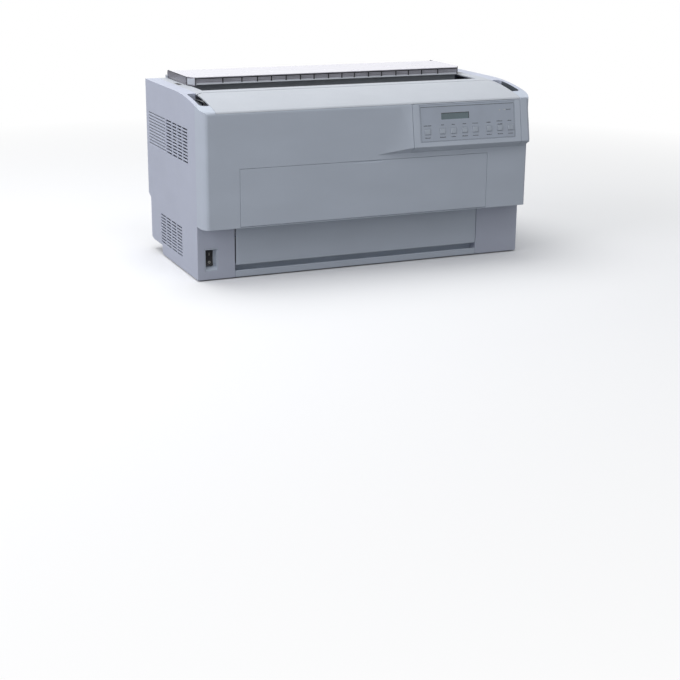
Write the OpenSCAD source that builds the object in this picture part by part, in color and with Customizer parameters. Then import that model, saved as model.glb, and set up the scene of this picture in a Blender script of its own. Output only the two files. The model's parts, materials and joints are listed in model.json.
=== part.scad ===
// Wide-carriage dot matrix printer with hinged covers.
// Origin: middle of the footprint, on the plane that the feet stand on.
// +X is to the right of the user, -Y is the front, +Z is up. Millimetres.

/* [Body] */
// Overall width of the casing
body_w = 700; // [690:1:710]
// Depth from the control panel's lip to the back wall
body_d = 382; // [380:1:384]
// Height of the closed casing, without the paper separator
case_top = 351; // [350:0.5:352]
// Height of the casing's bottom edge above the table
foot_h = 2.5; // [2:0.5:4]
// Wall thickness of the moulded casing
wall = 3; // [2.5:0.1:3.5]
// Height at which the upper front hangs over the lower front
overhang_z = 108; // [106:1:110]
// Height of the crease between the front and the top cover
crease_z = 328; // [326:1:330]
// How far the upper front stands back from the panel's lip
lip_reach = 15; // [14:1:16]
// How far the lower front stands back from the upper front
front_step = 41; // [40:1:42]

/* [Covers] */
// Width of the top cover
cover_w = 644; // [642:1:646]
// Where the top cover ends at the rear
cover_back_y = -55; // [-56:0.5:-54]
// Rounding of the crease between the front and the top cover
crease_r = 8; // [6:0.5:9]
// Width of the fold-down front cover
door_w = 528; // [526:1:530]
// Sideways offset of the front cover's middle
door_mid_x = -13; // [-14:1:-12]
// Height of the front cover
door_h = 112; // [110:1:113]
// Width of the paper separator
separator_w = 606; // [600:1:608]
// Height of the paper separator's plate above the casing's top
separator_h = 16.4; // [15.5:0.1:17]
// Length of the finger grips beside the top cover
grip_len = 84; // [80:1:86]

/* [Control panel] */
// Left edge of the panel module
panel_x0 = 79; // [78:0.5:80]
// Right edge of the panel module
panel_x1 = 320; // [318:0.5:321]
// Width of a key cap
key_w = 12; // [10:0.5:13]
// Height of a key cap along the panel's slope
key_h = 11; // [9:0.5:12]
// Travel of a key
key_travel = 1.2; // [0.8:0.1:1.5]

/* [Print mechanism] */
// Distance from the middle to each steel side frame
frame_x = 300; // [299:0.5:301]
// Thickness of the side frames
frame_t = 4; // [3:0.5:4]
// Diameter of the rear guide shaft, which carries the carriage
rear_shaft_d = 16; // [15:0.5:17]
// Diameter of the front guide shaft
front_shaft_d = 12; // [11:0.5:13]
// Running clearance of a shaft in its bore, on the radius
run_gap = 0.05; // [0.02:0.01:0.08]
// Pitch radius of the carriage belt's pulleys
pulley_r = 12; // [11:0.5:13]
// Height of the heavy steel platen bar
platen_h = 34; // [30:1:36]

/* [Tractors] */
// Side of the square tractor drive shaft
drive_side = 10; // [9:0.5:11]
// Sideways place of the left tractor
left_tractor_x = -206; // [-210:1:-190]
// Sideways place of the right tractor
right_tractor_x = 178; // [170:1:180]
// Number of tractor pins around one belt
pin_count = 12; // [10:2:14]

/* [Vents] */
// Height of one ventilation slit
slit_h = 3.2; // [2.8:0.1:3.4]
// Distance from slit to slit
slit_pitch = 6.27; // [6:0.01:6.4]
// Rows of slits in the upper field
upper_rows = 11; // [8:1:11]
// Rows of slits in the lower field
lower_rows = 10; // [8:1:10]

/* [Hidden] */
$fn = 48;
eps = 0.02;
big = 900;

// colours of the mouldings and metals
front_grey = "#9aa1ab";
top_grey = "#cdd2d6";
side_grey = "#b3b6c2";
cast_grey = "#8d9196";
pale_resin = "#d8d8d2";
dark_plastic = "#26282c";
tractor_grey = "#3f4349";
smoke = "#6b6f76";
steel = "#b8bcc0";
black = "#17181a";
board_green = "#2f6b45";

// body profile, y to the rear and z up
half_w = body_w / 2;
lip_y = -body_d / 2;
back_y = body_d / 2;
front_y = lip_y + lip_reach;
lower_y = front_y + front_step;
arc_y = -10;
arc_drop = case_top - crease_z;
arc_run = arc_y - front_y;
arc_r = (arc_run * arc_run + arc_drop * arc_drop) / (2 * arc_drop);
arc_z = case_top - arc_r;
arc_steps = 24;
crease_y = front_y + crease_r;
crease_reach = arc_r - crease_r;
crease_mid_z = arc_z + sqrt(crease_reach * crease_reach - (crease_y - arc_y) * (crease_y - arc_y));
crease_turn = atan2(crease_mid_z - arc_z, arc_y - crease_y);
foot_back_y = 101;
rear_under_z = 21;
rear_slope = 12;
rear_slope_z = 25;
rear_step_y = 175;
rear_step_z = 115;
rear_step_under = 107;
corner_r = 80;
corner_y = front_y + 38;
nose_r = 6;

// parts of the front
door_x0 = door_mid_x - door_w / 2;
door_x1 = door_mid_x + door_w / 2;
door_z0 = overhang_z + 1;
door_z1 = door_z0 + door_h;
cover_pivot_r = 1.8;
pivot_pin_r = 1.2;
door_hinge_y = front_y + cover_pivot_r;
door_hinge_z = door_z0 + 0.6 + cover_pivot_r;
lower_x0 = -274;
lower_x1 = 253;
slot_z0 = 15.5;
slot_z1 = 26.5;

// control panel: its face slopes out from the crease to the lip
lip_z = 246;
bulge_under_z = 231;
bulge_tip_x = 8;
face_out = lip_reach - 0.8;
face_tilt = 90 - atan2(face_out, crease_z - lip_z);
face_t = 2.5;
overlay_x0 = 94;
overlay_x1 = 307;
overlay_s0 = 3;
overlay_s1 = 78;
lcd_x0 = 141;
lcd_x1 = 203;
lcd_s0 = 22;
lcd_s1 = 35;
key_s = 57.5;
key_gap = 0.4;
overlay_d = 0.8;
key_places = [110, 143, 167, 192, 216, 247, 272, 296];

// finger grips and the power switch's place
grip_out = 341;
grip_y0 = -141;
grip_y1 = grip_y0 + grip_len;
grip_r = 8;
grip_depth = 13;
grip_wall = 2;
wing_x = cover_w / 2 + 0.2;
wing_z = 300;
switch_x0 = -336;
switch_x1 = -309;
switch_z0 = 19;
switch_z1 = 64;

// print mechanism
shaft_z = 236;
rear_shaft_y = -4;
front_shaft_y = -66;
head_nose_y = 17;
platen_y = 21;
platen_z0 = 252;
belt_y = -36;
belt_z = 219;
belt_w = 10;
pulley_x = 268;
pulley_bore_r = 3;
carriage_w = 96;
cartridge_z0 = 272;
cartridge_z1 = 292;

// tractors
drive_y = -92;
drive_z = 164;
tractor_reach = 54;
support_y = drive_y - 27 * cos(20);
support_z = drive_z - 27 * sin(20);
tractor_w = 24;
tractor_r = 14;
flap_pin_x = 1.6;
flap_pin_z = 17.4;
flap_pin_r = 1;
tractor_tilt = 20;
journal_r = 6;
gear_module = 1.25;
drive_teeth = 36;
pinion_teeth = 12;
pinion_z = drive_z - (drive_teeth + pinion_teeth) * gear_module / 2;
support_r = 4;
gear_x = frame_x + frame_t + 2;
gear_w = 6;
motor_pin_r = 2.5;
guide_w = 468;
knob_x = -150;
knob_y = -118;
knob_r = 12;
knob_pin_r = 3;

// folded channels between the side frames
stay_y0 = -62;
stay_y1 = -20;
stay_z = 124;
sheet_t = 2;

// side frames' feet and the power supply between them
frame_foot = 16;
supply_x0 = -frame_x + frame_foot + 2;
supply_x1 = -92;

// the separator
separator_y0 = 41;
separator_y1 = 170;
separator_z0 = case_top - 0.6;
separator_band_z = case_top + 4.8;
separator_z1 = case_top + separator_h;
separator_cut_x = 12;
separator_cut_y = 21;
separator_t = 1.8;
separator_end_r = 3.9;
separator_hinge_y = back_y - 0.1 - separator_end_r;
separator_hinge_z = separator_z0 + separator_end_r + 0.1;
separator_pin_r = 2;
exit_y0 = -30;
exit_back = 24;
exit_w = 600;

// the top cover's hinge and the deck behind it
cover_hinge_y = cover_back_y - 18;
cover_hinge_z = 339.8;
cover_pin_r = 2.5;
cover_cut = 12;
deck_gap = 2.9;
deck_front_y = cover_back_y + deck_gap;

// ribs of the separator's front band
rib_places = [-234, -194, -161, -131, -99, -68, -38, -6, 24, 52, 84, 114, 147, 176, 207, 245];

// display board behind the panel's face, and the keys' foot above it
board_d = 7.5;
key_top_d = 0.9;
key_foot_d = key_travel + 0.6 + 1 - board_d;

// power switch
rocker_x = -325.5;
rocker_w = 15;
rocker_h = 31;
rocker_y = lower_y + 12;
rocker_z = 44;
rocker_pin_r = 1.5;

// rear wall
rear_x0 = -270;
rear_x1 = 270;
rear_z0 = 122;
rear_z1 = 300;
rear_hinge_y = back_y - cover_pivot_r;
rear_hinge_z = rear_z0 + 0.6 + cover_pivot_r;
rear_slot_w = 500;
inlet_x = 250;
inlet_z = 62;
inlet_w = 28;
inlet_h = 20;
screw_places_x = [-332, 332];
screw_places_z = [44, 94];
screw_r = 2;
fan_x = 150;
fan_z = 66;
fan_pin_r = 2;
ports_z = 70;
ports = [[-240, 66, 15], [-165, 13, 12], [-110, 54, 13]];

// height of the casing's top at a depth y, t below its surface
function top_z(y, t) = y >= arc_y
  ? case_top - t
  : arc_z + sqrt((arc_r - t) * (arc_r - t) - (y - arc_y) * (y - arc_y));

// a box from its lowest to its highest corner
module block(low, high) {
  translate(low) cube(high - low);
}

// a drawing in (y, z), drawn along x from x0 to x1
module along_x(x0, x1) {
  translate([x0, 0, 0]) rotate([90, 0, 90]) linear_extrude(x1 - x0) children();
}

// a drawing in (x, z), drawn along y from y0 to y1
module along_y(y0, y1) {
  translate([0, y1, 0]) rotate([90, 0, 0]) linear_extrude(y1 - y0) children();
}

// a round rod along x
module rod_x(x0, x1, y, z, r) {
  translate([x0, y, z]) rotate([0, 90, 0]) cylinder(r = r, h = x1 - x0);
}

// a round rod along y
module rod_y(y0, y1, x, z, r) {
  translate([x, y0, z]) rotate([-90, 0, 0]) cylinder(r = r, h = y1 - y0);
}

// the same thing on the other side of the middle
module mirrored() {
  mirror([1, 0, 0]) children();
}

// mirrors a part left to right when side is -1
module mirrored_if(side) {
  if (side < 0) mirrored() children();
  else children();
}

// mirrors a flat drawing left to right when side is -1
module flat_mirrored_if(side) {
  if (side < 0) mirror([1, 0]) children();
  else children();
}

// ---------------------------------------------------------------- casing

// points along the casing's curved top from y0 back to y1, at depth t below the surface
function arc_points(t, y0, y1) = [
  for (i = [0 : arc_steps]) let (y = y0 + (y1 - y0) * i / arc_steps) [y, top_z(y, t)]
];

// points of the rounded crease from the front up to the curved top, at depth t
function crease_points(t) = [
  for (i = [0 : 8]) let (a = 180 - (180 - crease_turn) * i / 8)
    [crease_y + (crease_r - t) * cos(a), crease_mid_z + (crease_r - t) * sin(a)]
];

// side view of the casing, t inside its outer surface
module side_profile(t) {
  crease = crease_points(t);
  polygon(concat(
    [[lower_y + t, foot_h + t], [lower_y + t, overhang_z + t], [front_y + t, overhang_z + t]],
    [for (i = [0 : len(crease) - 2]) crease[i]],
    arc_points(t, crease[len(crease) - 1][0], arc_y),
    [
      [back_y - t, case_top - t], [back_y - t, rear_step_z + t / 2],
      [rear_step_y - t, rear_step_under + t / 2], [rear_step_y - t, rear_slope_z + t],
      [rear_step_y - rear_slope - t / 2, rear_under_z + t], [foot_back_y - t, rear_under_z + t],
      [foot_back_y - t, foot_h + t]
    ]
  ));
}

// points of the long soft front corner on the right, t inside the outer surface
function corner_points(t) = let (
  nose_y = front_y + nose_r,
  dy = corner_y - nose_y,
  dx = sqrt((corner_r - nose_r) * (corner_r - nose_r) - dy * dy),
  nose_x = half_w - corner_r + dx,
  turn = atan2(dy, dx)
) concat(
  [for (i = [0 : 8]) let (a = -turn * i / 8)
    [half_w - corner_r + (corner_r - t) * cos(a), corner_y + (corner_r - t) * sin(a)]],
  [for (i = [1 : 8]) let (a = -turn - (90 - turn) * i / 8)
    [nose_x + (nose_r - t) * cos(a), nose_y + (nose_r - t) * sin(a)]]
);

// plan view of the casing, t inside its outer surface
module plan_profile(t) {
  right = corner_points(t);
  last = len(right) - 1;
  left = [for (i = [0 : last]) [-right[last - i][0], right[last - i][1]]];
  polygon(concat([[half_w - t, back_y + 1]], right, left, [[-half_w + t, back_y + 1]]));
}

// the casing's solid, t inside its outer surface
module body_solid(t) {
  intersection() {
    along_x(-half_w + t, half_w - t) side_profile(t);
    linear_extrude(big / 2) plan_profile(t);
  }
}

// the casing's wall all round
module case_skin() {
  difference() {
    body_solid(0);
    body_solid(wall);
  }
}

// a row of vent slits at height z, cut to a depth from the left
module slit_row(runs, z, depth) {
  for (run = runs)
    block([-half_w - 1, run[0], z - slit_h / 2], [-half_w + depth, run[1], z + slit_h / 2]);
}

// slits of both vent fields; the rear half of the upper field is only grooved
module vent_slits() {
  top_row = 285;
  low_row = 85.3;
  groove = 1.3;
  for (i = [0 : upper_rows - 1]) {
    slit_row([[-86, -54], [-50, -21], [-17, 12], [16, 54]], top_row - i * slit_pitch, wall + 1);
    slit_row([[58, 173]], top_row - i * slit_pitch, groove);
  }
  for (i = [0 : lower_rows - 1])
    slit_row([[-38, -4], [0, 32], [36, 68], [72, 106]], low_row - i * slit_pitch, wall + 1);
}

// plan outline of the left finger grip, open towards the top cover, grown by t
module grip_outline(t) {
  open_x = -cover_w / 2 + 6;
  mid_x = -grip_out + grip_r;
  r = grip_r + t;
  polygon(concat(
    [[open_x, grip_y1 + t]],
    [for (a = [90 : 15 : 180]) [mid_x + r * cos(a), grip_y1 - grip_r + r * sin(a)]],
    [for (a = [180 : 15 : 270]) [mid_x + r * cos(a), grip_y0 + grip_r + r * sin(a)]],
    [[open_x, grip_y0 - t]]
  ));
}

// a band that follows the casing's curved top from y0 to y1, between the depths t0 and t1
module top_band(t0, t1, y0, y1) {
  low = arc_points(t1, y0, y1);
  polygon(concat(arc_points(t0, y0, y1), [for (i = [0 : arc_steps]) low[arc_steps - i]]));
}

// side moulding as on the left: side wall, top wing, lower front block; block_x is the block's inner edge
module side_case(block_x) {
  difference() {
    union() {
      intersection() {
        case_skin();
        union() {
          block([-half_w - 1, lower_y, 0], [-half_w + wall + 0.5, back_y + 1, big]);
          block([-half_w - 1, lower_y, wing_z], [-wing_x, back_y - wall - 0.1, big]);
          block([-half_w - 1, 0, case_top - wall + 0.1], [-wing_x, back_y + 1, big]);
          block([-half_w - 1, lower_y - 1, 0], [-block_x, lower_y + wall, overhang_z - 0.2]);
          intersection() {
            translate([0, 0, wing_z]) linear_extrude(big) grip_outline(grip_wall);
            block([-half_w, grip_y0 - 6, wing_z], [-wing_x, lower_y + 1, big]);
          }
        }
      }
      intersection() {
        linear_extrude(big) grip_outline(grip_wall);
        along_x(-half_w + 1, -wing_x)
          top_band(wall - 0.5, grip_depth + grip_wall, grip_y0 - 6, grip_y1 + 6);
      }
      block([-block_x - 3, lower_y + 0.5, foot_h + wall + 0.5], [-block_x, lower_y + 26, overhang_z - 1]);
    }
    intersection() {
      linear_extrude(big) grip_outline(0);
      along_x(-half_w, -cover_w / 2) top_band(-20, grip_depth, grip_y0 - 6, grip_y1 + 6);
    }
    vent_slits();
  }
}

// left moulding, with the power switch's place in its lower front block
module left_side_case() {
  color(side_grey) difference() {
    side_case(-lower_x0 + 0.5);
    block([switch_x0, lower_y - 1, switch_z0], [switch_x1, lower_y + wall + 1, switch_z1]);
  }
}

module right_side_case() {
  color(side_grey) mirrored() side_case(lower_x1 + 0.5);
}

// upper front shell, with the openings for the front cover and the control panel
module front_case() {
  color(front_grey) difference() {
    union() {
      intersection() {
        case_skin();
        block([-half_w - 1, front_y - 1, overhang_z - 1], [half_w + 1, lower_y - 0.1, big]);
      }
      // the bulge that carries the panel runs out to a tip on the left and to the corner on the right
      hull() {
        bulge_slice(panel_x0 - 0.5);
        block([bulge_tip_x, front_y, bulge_under_z], [bulge_tip_x + 1, front_y + 1, bulge_under_z + 1]);
        block([panel_x0 - 30, front_y, crease_z - 12], [panel_x0 - 2, front_y + 1, crease_z - 10]);
      }
      hull() {
        bulge_slice(panel_x1 + 0.5);
        bulge_slice(half_w - 15);
        block([half_w - 9, front_y - 8, lip_z - 6], [half_w - 8, front_y - 7, lip_z]);
        block([half_w - 2, front_y + 16, lip_z - 6], [half_w - 0.3, front_y + 18, lip_z]);
        block([half_w - 12, front_y + 4, bulge_under_z + 1], [half_w - 9, front_y + 8, crease_z - 8]);
      }
      // inner frame round the front cover's opening
      difference() {
        block([door_x0 - 4, front_y + 1, overhang_z + 0.5], [door_x1 + 4, front_y + 12, door_z1 + 5]);
        block([door_x0 + 3, front_y, overhang_z - 1], [door_x1 - 3, front_y + 13, door_z1 - 3]);
      }
    }
    rod_x(door_x0 - 3.5, door_x1 + 3.5, door_hinge_y, door_hinge_z, pivot_pin_r + run_gap);
    block([door_x0, front_y - 1, door_z0], [door_x1, front_y + 5, door_z1]);
    block([panel_x0, lip_y - 1, bulge_under_z], [panel_x1, front_y + 13, crease_z + 20]);
    block([-cover_w / 2, front_y - 1, crease_z - 3], [cover_w / 2, lower_y, big]);
    for (side = [-1, 1]) mirrored_if(side) translate([0, 0, wing_z]) linear_extrude(big)
      grip_outline(grip_wall + 0.1);
  }
}

// thin slice of the bulge's side view, at x
module bulge_slice(x) {
  along_x(x - 0.25, x + 0.25) bulge_profile(0);
}

// side view of the bulge that carries the panel, t inside its outer surface
module bulge_profile(t) {
  polygon([
    [front_y + t, crease_z - t], [front_y - face_out + t, lip_z + t], [lip_y + t, lip_z - 3],
    [lip_y + 2 + t, lip_z - 6 + t / 2], [front_y + t, bulge_under_z + t], [front_y + 12, bulge_under_z + t],
    [front_y + 12, crease_z - t]
  ]);
}

// rear wall with its step, the rear cover's opening, the connectors and the fan's grille
module rear_case() {
  color(side_grey) difference() {
    intersection() {
      case_skin();
      block([-half_w + wall + 0.6, rear_step_y - 16, 0], [half_w - wall - 0.6, back_y + 1, case_top - wall]);
    }
    block([rear_x0, back_y - wall - 1, rear_z0], [rear_x1, back_y + 1, rear_z1]);
    rod_x(rear_x0 - 3.5, rear_x1 + 3.5, rear_hinge_y, rear_hinge_z, pivot_pin_r + run_gap);
    // paper slot in the step's underside
    block([-rear_slot_w / 2, rear_step_y - 6, overhang_z - 6],
          [rear_slot_w / 2, back_y - wall - 0.2, rear_step_z + 3]);
    rear_window(inlet_x, inlet_z, inlet_w, inlet_h);
    for (port = ports) rear_window(port[0], ports_z, port[1], port[2]);
    for (x = screw_places_x, z = screw_places_z)
      rod_y(rear_step_y - wall - 1, rear_step_y + 1, x, z, screw_r + run_gap);
    // fan grille of concentric slits
    for (r = [9 : 6 : 33]) rear_grille_ring(r);
  }
}

// a window in the rear wall round a socket of width w and height h
module rear_window(x, z, w, h) {
  gap = 0.2;
  block([x - w / 2 - gap, rear_step_y - 6, z - h / 2 - gap],
        [x + w / 2 + gap, rear_step_y + 1, z + h / 2 + gap]);
}

// one ring of the fan's grille, broken by four spokes
module rear_grille_ring(r) {
  difference() {
    rod_y(rear_step_y - 5, rear_step_y + 1, fan_x, fan_z, r + 1.8);
    rod_y(rear_step_y - 6, rear_step_y + 2, fan_x, fan_z, r - 1.8);
    for (turn = [45, 135]) translate([fan_x, rear_step_y, fan_z]) rotate([0, turn, 0])
      cube([80, 20, 3], center = true);
  }
}

// plan outline of the top cover with its cut rear corners; side and back say by how much it is grown
module cover_outline(side, back) {
  x = cover_w / 2 + side;
  y = cover_back_y + back;
  polygon([
    [-x, front_y - 1], [-x, y - cover_cut], [-x + cover_cut, y],
    [x - cover_cut, y], [x, y - cover_cut], [x, front_y - 1]
  ]);
}

// top of the casing behind the top cover, with the paper exit and the separator's seat and lugs
module rear_deck() {
  deck_x = cover_w / 2;
  seat_x = separator_w / 2 + 0.4;
  seat_z = case_top - 1;
  lug_t = 4;
  lug_r = 3.5;
  slot = [[314, 67], [318, 91]];
  color(top_grey) difference() {
    union() {
      intersection() {
        case_skin();
        union() {
          block([-deck_x, cover_back_y - cover_cut, wing_z], [deck_x, back_y - wall - 0.2, big]);
          block([-deck_x, 0, case_top - wall + 0.1], [deck_x, back_y + 1, big]);
        }
      }
      for (side = [-1, 1]) mirrored_if(side) {
        block([seat_x, separator_hinge_y - lug_r, seat_z - 1],
              [seat_x + lug_t, separator_hinge_y + lug_r, separator_hinge_z]);
        rod_x(seat_x, seat_x + lug_t, separator_hinge_y, separator_hinge_z, lug_r);
        block([slot[0][0] - 1.5, slot[0][1] - 1.5, case_top - 7],
              [slot[1][0] + 1.5, slot[1][1] + 1.5, case_top - 1]);
      }
    }
    translate([0, 0, wing_z]) linear_extrude(big) cover_outline(0.9, deck_gap);
    block([-exit_w / 2, exit_y0, case_top - 10], [exit_w / 2, separator_y0 + exit_back, case_top + 10]);
    block([-seat_x, separator_y0 - 3, seat_z], [seat_x, back_y + 2, case_top + 1]);
    for (side = [-1, 1]) mirrored_if(side) {
      // slot beside the separator
      block([slot[0][0], slot[0][1], case_top - 5], [slot[1][0], slot[1][1], case_top + 1]);
      rod_x(seat_x - 1, seat_x + lug_t + 1, separator_hinge_y, separator_hinge_z, separator_pin_r + run_gap);
    }
  }
  // hanging edges of the paper exit guide the paper up from the platen
  color(top_grey) for (edge = [[exit_y0 - 2, 16], [separator_y0 + exit_back, 22]])
    block([-exit_w / 2, edge[0], case_top - edge[1]], [exit_w / 2, edge[0] + 2, case_top - 1.2]);
}

// bottom tray of the casing, with the raised rear floor, the front lip and ribs between the boards
module base_pan() {
  rib_t = 3;
  rib_z = foot_h + wall + 6.5;
  color(front_grey) difference() {
    union() {
      intersection() {
        case_skin();
        block([-half_w + wall + 0.6, lower_y - 1, 0],
              [half_w - wall - 0.6, rear_step_y - 16.2, rear_under_z + 5]);
      }
      block([lower_x0, lower_y, foot_h], [lower_x1, lower_y + wall, slot_z0]);
      block([lower_x0, lower_y + 22, foot_h], [lower_x1, lower_y + 22 + rib_t, slot_z1 + 1]);
      for (x = [-82, 16, 130, 240])
        block([x, lower_y + 24, foot_h], [x + rib_t, foot_back_y - 5, rib_z]);
      for (y = [-104, 94.5])
        block([supply_x0, y, foot_h], [supply_x1, y + rib_t, rib_z]);
    }
    block([lower_x0, lower_y - 1, slot_z0], [lower_x1, lower_y + wall + 2, slot_z1 + 10]);
    block([-half_w, lower_y - 1, 0], [lower_x0, lower_y + wall + 0.1, 30]);
    block([lower_x1, lower_y - 1, 0], [half_w, lower_y + wall + 0.1, 30]);
    // cooling slits under the main board
    for (x = [28 : 12 : 124], y = [-70, 10]) block([x, y, foot_h - 1], [x + 4, y + 60, foot_h + wall + 1]);
  }
}

// centre panel of the lower front, over the paper slot
module lower_front_panel() {
  x0 = lower_x0 + 2;
  x1 = lower_x1 - 0.6;
  shelf_y = lower_y + 22;
  color(front_grey) union() {
    block([x0, lower_y, slot_z1], [x1, lower_y + wall, overhang_z - 0.4]);
    block([x0, lower_y + 1, slot_z1], [x1, shelf_y, slot_z1 + 2]);
    for (x = [-200 : 80 : 200])
      block([x - 1, lower_y + 2, slot_z1 + 1], [x + 1, shelf_y - 2, overhang_z - 30]);
  }
}

// ---------------------------------------------------------------- frame and paper path

// outline of a steel side frame, y and z, with the ear that carries the top cover's hinge
module frame_plate() {
  ear = [[-26, -29], [-8, 3.2], [3, 3.2], [4, 0], [0, -21], [22, -21]];
  polygon(concat(
    [[-118, foot_h + wall], [-118, 112], [-160, 126], [-160, 200], [-150, 296]],
    [for (point = ear) [cover_hinge_y + point[0], cover_hinge_z + point[1]]],
    [[-45, 330], [150, 330], [164, 310], [164, 26], [96, 26], [96, foot_h + wall]]
  ));
}

// side frame in the left place, with its bearings' bores and lightening holes
module side_frame() {
  difference() {
    along_x(-frame_x - frame_t, -frame_x) frame_plate();
    frame_bore(rear_shaft_y, shaft_z, rear_shaft_d / 2 + eps);
    frame_bore(front_shaft_y, shaft_z, front_shaft_d / 2 + eps);
    frame_bore(drive_y, drive_z, journal_r + run_gap);
    frame_bore(support_y, support_z, support_r + eps);
    frame_bore(cover_hinge_y, cover_hinge_z, cover_pin_r + run_gap);
    // lightening holes: y, z, radius
    for (hole = [[60, 196, 34], [60, 290, 18], [10, 118, 33], [110, 100, 34], [126, 236, 22], [-40, 60, 26]])
      frame_bore(hole[0], hole[1], hole[2]);
  }
  // folded foot screwed to the base pan
  block([-frame_x - eps, -100, foot_h + wall], [-frame_x + frame_foot, 90, foot_h + wall + 3]);
}

// a bore along x through the left frame
module frame_bore(y, z, r) {
  rod_x(-frame_x - frame_t - 1, -frame_x + 1, y, z, r);
}

module left_frame() {
  color(steel) side_frame();
}

// the right frame also carries the idler's bracket and post
module right_frame() {
  color(steel) {
    mirrored() side_frame();
    block([pulley_x - 16, belt_y - 14, belt_z - 14], [frame_x, belt_y + 14, belt_z - 11]);
    translate([pulley_x, belt_y, belt_z - 12]) cylinder(r = pulley_bore_r, h = 22);
  }
}

// folded channel that ties the frames together under the paper guide
module front_stay() {
  color(steel) difference() {
    block([-frame_x, stay_y0, 98], [frame_x, stay_y1, stay_z]);
    block([-frame_x - 1, stay_y0 + sheet_t, 96], [frame_x + 1, stay_y1 - sheet_t, stay_z - sheet_t]);
    for (x = [-220 : 88 : 220]) translate([x, (stay_y0 + stay_y1) / 2, 110]) cylinder(r = 12, h = 20);
  }
}

// folded channel behind the platen; its top edge guides the paper from the rear
module rear_stay() {
  color(steel) difference() {
    along_x(-frame_x, frame_x) polygon([
      [52, 226], [90, 196], [140, 196], [140, 214], [138, 214], [138, 198], [91, 198], [53.5, 228],
      [53.5, 280], [52, 280]
    ]);
    for (x = [-240 : 96 : 240]) translate([x, 116, 190]) cylinder(r = 11, h = 20);
  }
}

// heavy bar that the print head strikes against, with its keel
module platen() {
  back = platen_y + 22;
  color("#55585c") {
    block([-frame_x, platen_y, platen_z0], [frame_x, back, platen_z0 + platen_h]);
    block([-frame_x, platen_y + 8, platen_z0 - 22], [frame_x, back, platen_z0]);
  }
}

// curved sheet that leads the paper from the tractors up to the print line
module paper_guide() {
  mid_y = -45;
  mid_z = 246;
  r_in = 60;
  low_z = mid_z - r_in;
  color(steel) {
    along_x(-guide_w / 2, guide_w / 2) {
      intersection() {
        difference() {
          translate([mid_y, mid_z]) circle(r = r_in + sheet_t, $fn = 180);
          translate([mid_y, mid_z]) circle(r = r_in, $fn = 180);
        }
        translate([mid_y, low_z - 3]) square([r_in + 3, r_in + 3]);
      }
      polygon([[-74, 178], [mid_y, low_z - sheet_t], [mid_y, low_z], [-74, 180]]);
    }
    // webs that stand on the front stay
    for (x = [-200 : 100 : 200]) along_x(x - 1, x + 1) polygon([
      [stay_y0 + 2, stay_z], [stay_y1 - 2, stay_z], [stay_y1 - 2, low_z + 3], [mid_y, low_z - 1.5],
      [stay_y0 + 2, 181.2]
    ]);
  }
}

// ---------------------------------------------------------------- print mechanism

// the two guide shafts that the carriage runs on
module rear_guide_shaft() {
  color(steel) rod_x(-frame_x - frame_t, frame_x + frame_t, rear_shaft_y, shaft_z, rear_shaft_d / 2);
}

module front_guide_shaft() {
  color(steel) rod_x(-frame_x - frame_t, frame_x + frame_t, front_shaft_y, shaft_z, front_shaft_d / 2);
}

// die-cast carriage that runs on both guide shafts, with the belt's clamp below
module carriage() {
  half = carriage_w / 2;
  web_z0 = shaft_z + 4;
  web_z1 = shaft_z + 10;
  grip_y = belt_y - pulley_r;
  color(cast_grey) difference() {
    union() {
      rod_x(-half, half, rear_shaft_y, shaft_z, 13);
      rod_x(-half, half, front_shaft_y, shaft_z, 10);
      block([-half, front_shaft_y, web_z0], [half, rear_shaft_y, web_z1]);
      for (x = [-half, half - 5]) block([x, front_shaft_y, shaft_z - 6], [x + 5, rear_shaft_y, web_z1]);
      block([-14, grip_y - 7, belt_z - 7.5], [14, grip_y + 6, web_z0 + 1]);
      for (x = [-34, 30]) block([x, -50, web_z1 - 1], [x + 4, -14, web_z1 + 22]);
    }
    rod_x(-half - 1, half + 1, rear_shaft_y, shaft_z, rear_shaft_d / 2 + run_gap);
    rod_x(-half - 1, half + 1, front_shaft_y, shaft_z, front_shaft_d / 2 + run_gap);
    block([-20, grip_y - 2, belt_z - 5.4], [20, grip_y + 1.6, belt_z + 5.4]);
    for (x = [-30, 0, 30]) translate([x, belt_y, web_z0 - 1]) cylinder(r = 7, h = 10);
  }
}

// print head: finned heat sink, body and the nose that holds the needles' tips
module print_head() {
  head_z = 280;
  fin_pitch = 6;
  body_y0 = -50;
  body_y1 = -14;
  color("#3a3c40") {
    for (y = [-54 : fin_pitch : -12]) head_fin(y, head_z);
    rod_y(body_y0 - 6, body_y1 + 6, 0, head_z, 19);
    block([-30, body_y0, 246], [30, body_y1, 262]);
  }
  color("#8f9499") hull() {
    block([-15, -8.5, head_z - 20], [15, -8, head_z + 14]);
    block([-6, head_nose_y - 1, head_z - 17], [6, head_nose_y, head_z + 3]);
  }
}

// one square cooling fin with round corners
module head_fin(y, z) {
  along_y(y, y + 2.2) translate([0, z]) intersection() {
    square([52, 46], center = true);
    circle(r = 31);
  }
}

// motor that drives the carriage belt, hung from its plate in the left frame
module carriage_motor() {
  body_z0 = 140;
  body_z1 = 206;
  plate = 30;
  color(black) translate([-pulley_x, belt_y, 0]) difference() {
    union() {
      translate([0, 0, body_z0]) cylinder(r = 27, h = body_z1 - body_z0);
      translate([0, 0, body_z1]) cylinder(r = 9, h = 4);
      block([-frame_x + pulley_x, -plate, body_z1 - 3], [plate, plate, body_z1]);
      for (z = [body_z0 + 10 : 8 : body_z0 + 50]) translate([0, 0, z]) cylinder(r = 27.8, h = 3);
    }
    translate([0, 0, body_z1 - 16]) cylinder(r = pulley_bore_r + run_gap, h = 30);
  }
}

// toothed rim of a pulley, drawn in plan
module pulley_rim() {
  teeth = 24;
  difference() {
    circle(r = pulley_r - 0.4);
    for (i = [0 : teeth - 1]) rotate(i * 360 / teeth) translate([pulley_r, 0]) circle(r = 0.9, $fn = 16);
  }
}

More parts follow.
